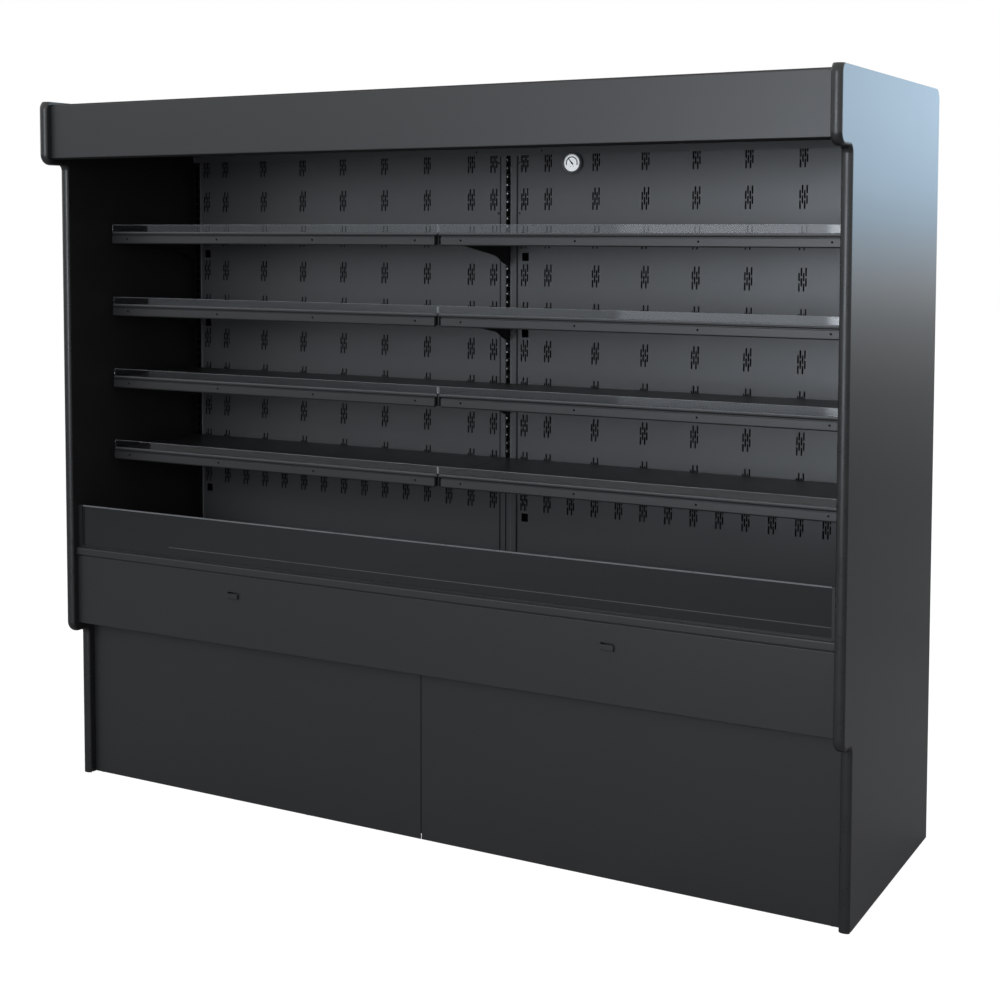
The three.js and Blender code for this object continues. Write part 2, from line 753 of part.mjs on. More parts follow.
/** The channel that the front glass stands in, with a post at each end. */
function glassChannelGeometry() {
  const front = glassReach + channelClearance + channelWall;
  const rear = glassReach - glassThickness - channelClearance - channelWall;
  const floor = tubWallTop + seatGap;
  const profile = sideProfile([
    [tubInnerFront, floor],
    [front, floor],
    [front, channelTop],
    [front - channelWall, channelTop],
    [front - channelWall, floor + channelBase],
    [rear + channelWall, floor + channelBase],
    [rear + channelWall, channelTop],
    [rear, channelTop],
    [rear, floor + channelBase],
    [tubInnerFront, floor + channelBase],
  ]);
  const posts = sides.map(([, sign]) => {
    const inner = sign * (insideHalfWidth - glassEndGap + seatGap);
    const outer = sign * fitHalfWidth;
    const [x0, x1] = [Math.min(inner, outer), Math.max(inner, outer)];
    return box(x0, x1, rear, front, floor, glassTop);
  });
  return joinAndCut([extrudeX(profile, -fitHalfWidth, fitHalfWidth), ...posts]);
}

function riserGlassGeometry() {
  const half = insideHalfWidth - glassEndGap;
  return extrudeX(sideProfile([
    [glassReach - glassThickness, glassBottom],
    [glassReach, glassBottom],
    [glassReach, glassTop, glassEdgeRadius],
    [glassReach - glassThickness, glassTop, glassEdgeRadius],
  ]), -half, half);
}

function kickPanelGeometry() {
  const length = fitHalfWidth - kickPanelGap / 2;
  const rear = kickPanelReach - kickPanelReturn;
  return extrudeX(foldedProfile([
    [kickPanelReach, kickPanelBottom],
    [kickPanelReach, kickPanelTop],
    [rear, kickPanelTop],
  ].reverse()), -length / 2, length / 2);
}

function frontAssembly() {
  const group = new THREE.Group();
  group.add(mesh('front_panel', frontPanelGeometry(), finish.charcoalSteel));
  group.add(mesh('bumper_rail', railGeometry(), finish.charcoalSteel));
  group.add(mesh('glass_channel', glassChannelGeometry(), finish.blackTrim));
  group.add(mesh('riser_glass', riserGlassGeometry(), finish.smokedGlass));
  const kick = kickPanelGeometry();
  for (const [side, sign] of sides) {
    const panel = mesh(`kick_panel_${side}`, kick, finish.charcoalSteel);
    panel.position.x = (sign * (fitHalfWidth + kickPanelGap / 2)) / 2;
    group.add(panel);
  }
  return group;
}

// ---------------------------------------------------------------- shelves

/** One bracket arm with its two tabs, as a side profile about the deck surface. */
function bracketGeometry(x0) {
  const rear = uprightReach + seatGap;
  const arm = extrudeX(sideProfile([
    [rear, -bracketHeight],
    [rear + bracketHeel.length, -bracketHeel.height],
    [rear + bracketKnee.length, -bracketKnee.height],
    [rear + bracketMiddle.length, -bracketMiddle.height],
    [rear + bracketNose.length, -bracketNose.height],
    [rear + bracketNose.length, -shelfSheet / 2],
    [rear + bracketTopSetback, -shelfSheet / 2],
    [rear, -hookDrop],
  ]), x0, x0 + bracketThickness);
  const tabs = bracketTabSlots.map((slot) => {
    const z = -hookDrop - slot * slotPitch;
    const half = bracketTabHeight / 2;
    return box(
      x0, x0 + bracketThickness, uprightReach - bracketTabLength, rear + 2, z - half, z + half,
    );
  });
  return [arm, ...tabs];
}

/** Deck, folded front strip and two brackets of the shelf on one side of the middle. */
function shelfGeometry(sign) {
  const inner = sign * shelfMiddleGap;
  const outer = sign * (shelfMiddleGap + shelfLength);
  const stripInner = sign * (shelfMiddleGap + shelfStripSetback);
  const [deck0, deck1] = [Math.min(inner, outer), Math.max(inner, outer)];
  const [strip0, strip1] = [Math.min(stripInner, outer), Math.max(stripInner, outer)];
  const deck = box(deck0, deck1, shelfRear, shelfReach, -shelfSheet, 0);
  const groove = shelfReach - shelfGrooveDepth;
  const grooveBottom = -shelfLipHeight - shelfGrooveHeight;
  const front = extrudeX(foldedProfile([
    [shelfReach, -shelfSheet / 2],
    [shelfReach, -shelfLipHeight],
    [groove, -shelfLipHeight],
    [groove, grooveBottom],
    [shelfReach, grooveBottom],
    [shelfReach, -shelfStripBottom],
  ], shelfStripSheet), strip0, strip1);
  const middleArm = sign > 0 ? shelfMiddleGap : -shelfMiddleGap - bracketThickness;
  const sideArm = sign * sideSlotX - bracketThickness / 2;
  const arms = [middleArm, sideArm].flatMap(bracketGeometry);
  const holes = [];
  for (let index = 0; index < stripHoleCount; index += 1) {
    const x = sign * bayCentre + (index - (stripHoleCount - 1) / 2) * stripHoleSpacing;
    holes.push(barY(x, -stripHoleDrop, stripHoleRadius, shelfReach - 10, shelfReach + 5, 6));
  }
  return joinAndCut([deck, front, ...arms], holes);
}

function shelfAssembly() {
  const group = new THREE.Group();
  const riserFront = shelfReach - riserSetback;
  const riser = box(
    -shelfLength / 2, shelfLength / 2, riserFront - riserThickness, riserFront,
    seatGap, seatGap + riserHeight,
  );
  for (const [side, sign] of sides) {
    const shelf = shelfGeometry(sign);
    for (let level = 0; level < shelfLevels; level += 1) {
      const unit = new THREE.Group();
      unit.position.z = shelfZ(level);
      unit.add(mesh(`shelf_${level + 1}_${side}`, shelf, finish.charcoalSteel));
      const clear = mesh(`shelf_riser_${level + 1}_${side}`, riser, finish.clearPlastic);
      clear.position.x = sign * shelfCentre;
      unit.add(clear);
      group.add(unit);
    }
  }
  return group;
}

// ---------------------------------------------------------------- deck

function deckPanGeometry() {
  const length = fitHalfWidth - shelfMiddleGap;
  return extrudeX(foldedProfile([
    [deckPanRear, deckTop - deckPanFlange],
    [deckPanRear, deckTop],
    [deckPanFront, deckTop],
    [deckPanFront, deckTop - deckPanFlange],
  ], deckSheet), -length / 2, length / 2);
}

function returnGrilleGeometry() {
  const rear = deckPanFront + seatGap;
  const front = tubInnerFront - seatGap;
  const slots = [];
  const columns = Math.floor((2 * fitHalfWidth) / grilleSlotPitch);
  const y = fromRear(rear + deckSheet + (front - grilleLedgeWidth - rear) / 2);
  const [halfX, halfY] = [grilleSlotLength / 2, grilleSlotWidth / 2];
  for (let column = 0; column < columns; column += 1) {
    const x = (column - (columns - 1) / 2) * grilleSlotPitch;
    slots.push(rectangle(x - halfX, y - halfY, x + halfX, y + halfY));
  }
  const lip = box(
    -fitHalfWidth, fitHalfWidth, rear, rear + deckSheet, deckTop - deckPanFlange, deckTop - 1,
  );
  const sheet = box(-fitHalfWidth, fitHalfWidth, rear, front, deckTop - deckSheet, deckTop);
  return joinAndCut([sheet, lip], [extrudeZ(slots, deckTop - deckSheet - 1, deckTop + 1)]);
}

// ---------------------------------------------------------------- fans

/** An axial impeller about the Y axis: a bored hub and twisted blades, its rear face at y = 0. */
function impellerGeometry(tipRadius, hub, length, bore) {
  const blades = [];
  for (let blade = 0; blade < fanBladeCount; blade += 1) {
    const outline = filletedShape([
      [0, hub - 4],
      [tipRadius * 0.5, hub - 4],
      [tipRadius * 0.72, tipRadius * 0.55, 8],
      [tipRadius * 0.42, tipRadius * 0.9, 6],
      [-tipRadius * 0.06, tipRadius * 0.95, 6],
    ]);
    const settings = { depth: bladeThickness, bevelEnabled: false, curveSegments: 1 };
    const plate = new THREE.ExtrudeGeometry(outline, settings);
    plate.translate(-tipRadius * 0.33, 0, -bladeThickness / 2);
    plate.rotateY(THREE.MathUtils.degToRad(bladePitch));
    plate.rotateX(Math.PI / 2);
    plate.translate(0, -length / 2, 0);
    plate.rotateY((2 * Math.PI * blade) / fanBladeCount);
    blades.push(plate);
  }
  const core = new THREE.CylinderGeometry(hub, hub, length, 14).translate(0, -length / 2, 0);
  const depth = shaftLength + 1;
  const shaft = new THREE.CylinderGeometry(bore, bore, 2 * depth, 10);
  return joinAndCut([core, ...blades], [shaft]);
}

/** A bar across a fan opening that carries its motor, and the shaft that the fan runs on. */
function motorMount(x, z, half, rearReach) {
  const front = rearReach + motorBarThickness;
  return [
    box(x - motorBarWidth / 2, x + motorBarWidth / 2, rearReach, front, z - half, z + half),
    barY(x, z, motorRadius, rearReach - motorLength, rearReach + 1, 16),
    barY(x, z, shaftRadius, rearReach, front + seatGap + shaftLength, 12),
  ];
}

// ---------------------------------------------------------------- evaporator section

function plenumGeometry() {
  const plate = box(
    -fitHalfWidth, fitHalfWidth, plenumReach - steelSheet, plenumReach, tubFloor + seatGap, deckSeat,
  );
  const openings = [];
  const mounts = [];
  for (const [, sign] of sides) {
    const radius = fanRadius + fanRingClearance;
    openings.push(barY(sign * bayCentre, fanCentre, radius, plenumReach - 5, plenumReach + 5, 20));
    const half = (deckSeat - tubFloor) / 2 - seatGap;
    const rear = plenumReach - steelSheet - motorBarThickness;
    mounts.push(...motorMount(sign * bayCentre, fanCentre, half, rear));
  }
  return joinAndCut([joinAndCut([plate], openings), ...mounts]);
}

/** A comb of fins on a spine, seen from above, from x0 to x1. */
function finShape(x0, x1, rearReach, frontReach, fins, finThickness, spine) {
  const shape = new THREE.Shape();
  const pitch = (x1 - x0 - finThickness) / (fins - 1);
  const root = fromRear(rearReach + spine);
  shape.moveTo(x0, fromRear(rearReach));
  for (let fin = 0; fin < fins; fin += 1) {
    const x = x0 + fin * pitch;
    shape.lineTo(x, fin === 0 ? fromRear(frontReach) : root);
    if (fin > 0) shape.lineTo(x, fromRear(frontReach));
    shape.lineTo(x + finThickness, fromRear(frontReach));
    if (fin < fins - 1) shape.lineTo(x + finThickness, root);
  }
  shape.lineTo(x1, fromRear(rearReach));
  shape.closePath();
  return shape;
}

/** Copper return bends at one end of a coil. */
function returnBends(x, outward, rearReach, frontReach, z, count) {
  const bends = [];
  const pitch = (frontReach - rearReach) / count;
  for (let index = 0; index < count; index += 1) {
    const centre = fromRear(rearReach + (index + 0.5) * pitch);
    const path = new THREE.CatmullRomCurve3([
      new THREE.Vector3(x - outward * 2, centre - pitch / 4, z),
      new THREE.Vector3(x + outward * 10, centre - pitch / 5, z),
      new THREE.Vector3(x + outward * 14, centre, z),
      new THREE.Vector3(x + outward * 10, centre + pitch / 5, z),
      new THREE.Vector3(x - outward * 2, centre + pitch / 4, z),
    ]);
    const section = new THREE.Shape().absarc(0, 0, bendRadius, 0, 2 * Math.PI);
    const settings = { steps: 5, bevelEnabled: false, curveSegments: 3, extrudePath: path };
    bends.push(new THREE.ExtrudeGeometry(section, settings));
  }
  return bends;
}

function evaporatorGeometry() {
  const bottom = tubFloor + seatGap;
  const fins = extrudeZ(finShape(
    -coilHalfLength, coilHalfLength, coilRear, coilFront, coilFinCount, coilFinThickness, coilSpine,
  ), bottom + 4, bottom + coilHeight);
  const plates = sides.map(([, sign]) => {
    const x = sign * (coilHalfLength + coilEndPlate / 2);
    const half = coilEndPlate / 2 + 0.5;
    return box(x - half, x + half, coilRear, coilFront, bottom, deckSeat);
  });
  const end = coilHalfLength + coilEndPlate;
  const bends = [0.3, 0.7].flatMap((share) => (
    returnBends(end, 1, coilRear + 12, coilFront - 12, bottom + share * coilHeight, 2)
  ));
  return joinAndCut([fins, ...plates, ...bends]);
}

function evaporatorAssembly() {
  const group = new THREE.Group();
  group.add(mesh('fan_plenum', plenumGeometry(), finish.zincSteel));
  group.add(mesh('evaporator_coil', evaporatorGeometry(), finish.aluminium));
  const fan = impellerGeometry(fanRadius, hubRadius, hubLength, shaftRadius + shaftClearance);
  for (const [side, sign] of sides) {
    const item = mesh(`evaporator_fan_${side}`, fan, finish.greyPlastic);
    item.position.set(sign * bayCentre, fromRear(plenumReach + seatGap), fanCentre);
    group.add(item);
  }
  const pan = deckPanGeometry();
  for (const [side, sign] of sides) {
    const item = mesh(`deck_pan_${side}`, pan, finish.charcoalSteel);
    item.position.x = (sign * (fitHalfWidth + shelfMiddleGap)) / 2;
    group.add(item);
  }
  group.add(mesh('return_grille', returnGrilleGeometry(), finish.blackSteel));
  return group;
}

// ---------------------------------------------------------------- base and machinery

function baseFrameGeometry() {
  const rails = [
    [frameFrontReach - frameRailWidth, frameFrontReach],
    [frameRearInset, frameRearInset + frameRailWidth],
  ];
  const solids = rails.map(([rear, front]) => (
    box(-fitHalfWidth, fitHalfWidth, rear, front, frameRailBottom, frameRailTop)
  ));
  const postTop = tubBottom - seatGap;
  for (const x of [-outerCrossMember, outerCrossMember]) {
    const half = framePostWidth / 2;
    for (const rear of [frameRearInset + framePostInset, machineFront - framePostWidth]) {
      const front = rear + framePostWidth;
      solids.push(box(x - half, x + half, rear, front, frameRailBottom + 12, postTop));
    }
  }
  for (const x of crossMembers) {
    const half = crossMemberWidth / 2;
    const [rear, front] = [frameRearInset + 1, frameFrontReach - 1];
    solids.push(box(x - half, x + half, rear, front, frameRailBottom + 4, frameRailTop));
    for (const reach of [frameRearInset + footFrontInset, frameFrontReach - footFrontInset]) {
      const y = fromRear(reach);
      solids.push(barZ(x, y, footRadius, 0, footHeight, 10));
      solids.push(barZ(x, y, footStemRadius, footHeight - 1, frameRailBottom + 6, 6));
    }
  }
  return joinAndCut(solids);
}

function bulkheadGeometry() {
  const z0 = frameRailTop + seatGap;
  const sheet = new THREE.Shape([
    new THREE.Vector2(fromRear(machineFront), z0),
    new THREE.Vector2(fromRear(frameRearInset), z0),
    new THREE.Vector2(fromRear(frameRearInset), tubBottom - seatGap),
    new THREE.Vector2(fromRear(machineFront), tubBottom - seatGap),
  ]);
  const middle = fromRear(frameFrontReach / 2);
  const centre = (z0 + tubBottom) / 2;
  const half = bulkheadWindow / 2;
  sheet.holes.push(rectangle(middle - half, centre - half, middle + half, centre + half));
  return extrudeX(sheet, -bulkheadThickness / 2, bulkheadThickness / 2);
}

function machineTrayGeometry() {
  const z = frameRailTop + seatGap;
  return extrudeX(foldedProfile([
    [trayFront, z + trayFlange],
    [trayFront, z],
    [trayRear, z],
    [trayRear, z + trayFlange],
  ]), trayLeft, trayRight);
}

/** A welded hermetic shell on a foot plate, with its terminal cover on the side. */
function compressorGeometry(floor) {
  const profile = [
    [0, 0], [0.72, 0], [0.8, 0.04], [0.93, 0.1], [0.96, 0.42], [1, 0.44], [1, 0.48],
    [0.96, 0.5], [0.94, 0.78], [0.82, 0.92], [0.5, 0.99], [0, 1],
  ].map(([r, z]) => new THREE.Vector2(r * compressorRadius, z * compressorHeight));
  const { reach } = compressorPlace;
  const x = compressorX;
  const base = floor + compressorFootHeight;
  const shell = new THREE.LatheGeometry(profile, 16).rotateX(Math.PI / 2);
  shell.translate(x, fromRear(reach), base);
  const half = compressorRadius;
  const plate = box(x - half, x + half, reach - half, reach + half, base - 3, base + 3);
  const mounts = [-1, 1].flatMap((sx) => [-1, 1].map((sy) => (
    barZ(x + sx * (half - 14), fromRear(reach) + sy * (half - 14), 10, floor, base, 8)
  )));
  const cover = box(
    x + half * 0.8, x + half + 34, reach - 38, reach + 38, base + 80, base + 165,
  );
  const discharge = barZ(x - half * 0.4, fromRear(reach), 6, base + compressorHeight - 20,
    base + compressorHeight + 40, 8);
  return joinAndCut([shell, plate, ...mounts, cover, discharge]);
}

function condenserGeometry(floor) {
  const x1 = condenserLeft + condenserWidth;
  const front = condenserRear + condenserDepth;
  const fins = extrudeZ(finShape(
    condenserLeft, x1, condenserRear, front,
    condenserFinCount, condenserFinThickness, condenserSpine,
  ), floor + 2, floor + condenserHeight - 2);
  const plates = [floor, floor + condenserHeight - 3].map((z) => (
    box(condenserLeft, x1, condenserRear, front, z, z + 3)
  ));
  const bends = [0.25, 0.5, 0.75].flatMap((share) => (
    returnBends(x1, 1, condenserRear, front, floor + share * condenserHeight, 1)
  ));
  return joinAndCut([fins, ...plates, ...bends]);
}

/** A box behind the condenser with a round fan opening in its rear face. */
function shroudGeometry(floor, fanX, fanZ) {
  const x1 = condenserLeft + condenserWidth;
  const front = condenserRear - seatGap;
  const rear = front - shroudDepth;
  const top = floor + condenserHeight;
  const outer = box(condenserLeft, x1, rear, front, floor, top);
  const hollow = box(
    condenserLeft + steelSheet, x1 - steelSheet, rear + 2, front + 1,
    floor + steelSheet, top - steelSheet,
  );
  const opening = barY(fanX, fanZ, condenserFanRadius + fanRingClearance, rear - 1, rear + 4, 32);
  const shell = joinAndCut([outer], [hollow, opening]);
  const barRear = rear - motorBarThickness;
  const reach = condenserHeight / 2 - 2;
  return joinAndCut([shell, ...motorMount(fanX, fanZ, reach, barRear + 1)]);
}

/** The sheet that closes the rear of the machine space, with banks of air slots. */
function rearCoverGeometry() {
  const front = frameRearInset - seatGap;
  const rear = front - steelSheet;
  const top = tubBottom - seatGap;
  const middle = (frameRailTop + top) / 2;
  const slots = [];
  for (let bank = 0; bank < louvreBanks; bank += 1) {
    const x = ((bank + 0.5) / louvreBanks - 0.5) * 2 * fitHalfWidth;
    for (let row = 0; row < louvreRows; row += 1) {
      const z = middle + (row - (louvreRows - 1) / 2) * louvrePitch - louvreHeight / 2;
      slots.push(rectangle(x - louvreLength / 2, z, x + louvreLength / 2, z + louvreHeight));
    }
  }
  const sheet = box(-fitHalfWidth, fitHalfWidth, rear, front, rearCoverBottom, top);
  return joinAndCut([sheet], [extrudeY(slots, rear - 1, front + 1)]);
}

/** A shallow open tray that collects and evaporates the defrost water. */
function dripTrayGeometry() {
  const { width, rear, depth, height, wall } = dripTray;
  const left = -innerCrossMember - width / 2;
  const z = frameRailTop + seatGap;
  const outer = box(left, left + width, rear, rear + depth, z, z + height);
  const hollow = box(
    left + wall, left + width - wall, rear + wall, rear + depth - wall, z + wall, z + height + 1,
  );
  return joinAndCut([outer], [hollow]);
}

function machineAssembly() {
  const group = new THREE.Group();
  const floor = frameRailTop + steelSheet + 2 * seatGap;
  const fanX = condenserLeft + condenserWidth / 2;
  const fanZ = floor + condenserHeight / 2;
  group.add(mesh('base_frame', baseFrameGeometry(), finish.blackSteel));
  group.add(mesh('center_bulkhead', bulkheadGeometry(), finish.zincSteel));
  group.add(mesh('machine_tray', machineTrayGeometry(), finish.zincSteel));
  group.add(mesh('compressor', compressorGeometry(floor), finish.blackEnamel));
  group.add(mesh('condenser_coil', condenserGeometry(floor), finish.aluminium));
  group.add(mesh('condenser_shroud', shroudGeometry(floor, fanX, fanZ), finish.blackSteel));
  const fan = mesh('condenser_fan', impellerGeometry(
    condenserFanRadius, condenserHubRadius, condenserHubLength, shaftRadius + shaftClearance,
  ), finish.greyPlastic);
  const mountFront = condenserRear - seatGap - shroudDepth + 1;
  fan.position.set(fanX, fromRear(mountFront + seatGap), fanZ);
  group.add(fan);
  const cabinet = electricalBox;
  const left = trayLeft + cabinet.fromTray;
  const front = trayFront - cabinet.frontGap;
  group.add(mesh('electrical_box', box(
    left, left + cabinet.width, front - cabinet.depth, front, floor, floor + cabinet.height,
  ), finish.zincSteel));
  group.add(mesh('drip_tray', dripTrayGeometry(), finish.zincSteel));
  group.add(mesh('rear_cover', rearCoverGeometry(), finish.charcoalSteel));
  return group;
}

// ---------------------------------------------------------------- thermometer

/** Turns a lathed profile so that its axis lies along -Y and its base at y = 0. */
function latheTowardsFront(profile, facets) {
  const points = profile.map(([radius, depth]) => new THREE.Vector2(radius, depth));
  return new THREE.LatheGeometry(points, facets).rotateX(Math.PI);
}

function thermometerAssembly() {
  const seat = uprightReach - backPanelReach + steelSheet + seatGap;
  const top = seat + thermometerDepth;
  const face = seat + thermometerFace;
  const inner = thermometerRadius - thermometerRim;
  const lensBack = seat + thermometerLens;
  const pinTop = face + seatGap + 1.5 * needleThickness;
  const caseBody = latheTowardsFront([
    [0, 0], [thermometerBossRadius, 0], [thermometerBossRadius, seat], [thermometerRadius, seat],
    [thermometerRadius, seat + thermometerRimDepth], [inner + 2, top], [inner, top],
    [inner, face], [needlePinRadius, face], [needlePinRadius, pinTop], [0, pinTop],
  ], 22);
  const lens = latheTowardsFront([
    [0, lensBack], [inner - seatGap, lensBack],
    [inner - seatGap, lensBack + thermometerLensThickness],
    [0, lensBack + thermometerLensThickness],
  ], 22);
  const blade = filletedShape([
    [-needleTail, -needleWidth / 2], [needleLength, -needleTip / 2], [needleLength, needleTip / 2],
    [-needleTail, needleWidth / 2],
  ]);
  const settings = { depth: needleThickness, bevelEnabled: false };
  const needlePlate = new THREE.ExtrudeGeometry(blade, settings).rotateX(Math.PI / 2);
  const hub = new THREE.CylinderGeometry(needleHubRadius, needleHubRadius, needleThickness, 12);
  hub.translate(0, -needleThickness / 2, 0);
  const bore = new THREE.CylinderGeometry(needleBoreRadius, needleBoreRadius, 10, 10);
  const needle = mesh('thermometer_needle', joinAndCut([needlePlate, hub], [bore]), finish.needle);
  needle.position.y = -face - seatGap;
  needle.rotation.y = -THREE.MathUtils.degToRad(needleRestAngle);
  const group = new THREE.Group();
  group.position.set(thermometerX, fromRear(backPanelReach + seatGap), thermometerZ);
  group.add(mesh('thermometer_case', caseBody, finish.dialWhite));
  group.add(needle);
  group.add(mesh('thermometer_lens', lens, finish.lensClear));
  return group;
}

// ---------------------------------------------------------------- whole cabinet

const fridge = new THREE.Group();
fridge.add(endAssembly());
fridge.add(shellAssembly());
fridge.add(backAssembly());
fridge.add(canopyAssembly());
fridge.add(frontAssembly());
fridge.add(shelfAssembly());
fridge.add(evaporatorAssembly());
fridge.add(machineAssembly());
fridge.add(thermometerAssembly());

export default fridge;
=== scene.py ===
"""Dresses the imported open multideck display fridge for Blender.

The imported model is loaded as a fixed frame. Every sub-assembly of the cabinet is a class that
models its visible pieces over the CAD nodes and gives each piece its finish. Sizes are in
millimetres in the classes and become metres on the bench.
"""

from __future__ import annotations

import json
import logging
import math
import time
from collections.abc import Callable, Iterable, Sequence
from dataclasses import dataclass
from enum import Enum

import bpy
from mathutils import Matrix, Vector

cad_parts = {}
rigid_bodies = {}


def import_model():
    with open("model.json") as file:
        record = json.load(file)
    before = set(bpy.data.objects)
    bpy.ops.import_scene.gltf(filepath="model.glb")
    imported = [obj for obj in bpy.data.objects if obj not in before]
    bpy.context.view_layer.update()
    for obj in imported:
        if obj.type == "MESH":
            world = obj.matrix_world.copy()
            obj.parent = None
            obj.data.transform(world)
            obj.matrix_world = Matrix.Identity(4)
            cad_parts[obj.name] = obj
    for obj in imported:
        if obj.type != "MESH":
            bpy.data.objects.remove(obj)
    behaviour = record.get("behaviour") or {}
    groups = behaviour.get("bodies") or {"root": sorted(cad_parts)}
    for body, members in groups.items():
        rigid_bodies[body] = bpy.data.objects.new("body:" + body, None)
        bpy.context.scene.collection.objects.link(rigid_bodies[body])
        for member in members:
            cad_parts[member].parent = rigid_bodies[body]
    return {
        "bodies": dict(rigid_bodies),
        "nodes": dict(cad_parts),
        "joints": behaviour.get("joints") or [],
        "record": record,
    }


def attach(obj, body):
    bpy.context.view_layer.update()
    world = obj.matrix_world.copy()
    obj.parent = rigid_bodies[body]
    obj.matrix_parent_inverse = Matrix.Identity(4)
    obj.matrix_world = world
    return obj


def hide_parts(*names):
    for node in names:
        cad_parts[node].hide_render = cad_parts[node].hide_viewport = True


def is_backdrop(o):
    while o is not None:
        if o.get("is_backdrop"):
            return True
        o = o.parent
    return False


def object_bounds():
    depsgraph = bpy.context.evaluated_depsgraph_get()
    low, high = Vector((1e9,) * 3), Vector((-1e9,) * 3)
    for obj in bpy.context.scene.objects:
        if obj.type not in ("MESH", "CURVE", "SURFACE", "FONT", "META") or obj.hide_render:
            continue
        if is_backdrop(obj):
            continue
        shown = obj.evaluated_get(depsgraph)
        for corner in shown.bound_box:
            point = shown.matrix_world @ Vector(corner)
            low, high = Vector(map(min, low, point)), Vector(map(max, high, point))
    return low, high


log = logging.getLogger("multideck")

MM = 0.001
DEPTH = 913.0
HALF_INSIDE = 1191.0
FIT = 1190.7
MERGE = 1e-6
NEAR = 1e-5

Point = tuple[float, float, float]
Flat = tuple[float, float]
Piece = bpy.types.Object
Socket = bpy.types.NodeSocket
Material = bpy.types.Material


def at(x: float, reach: float, z: float) -> Vector:
    """Place in metres of a point given by x, its distance from the rear face, and its height."""
    return Vector((x, DEPTH / 2 - reach, z)) * MM


class Axis(Enum):
    """The three directions a turned piece can lie along."""

    X = "x"
    Y = "y"
    Z = "z"


class Side(Enum):
    """The two halves of the cabinet, as seen from the front."""

    LEFT = ("left", -1)
    RIGHT = ("right", 1)

    @property
    def label(self) -> str:
        """The side's name in node and piece names."""
        return self.value[0]

    @property
    def sign(self) -> int:
        """The side's sign along X."""
        return self.value[1]

    def span(self, near: float, far: float) -> Flat:
        """The range in x between two distances from the middle, lowest first."""
        low, high = sorted((self.sign * near, self.sign * far))
        return low, high


# ------------------------------------------------------------------ the modelling bench


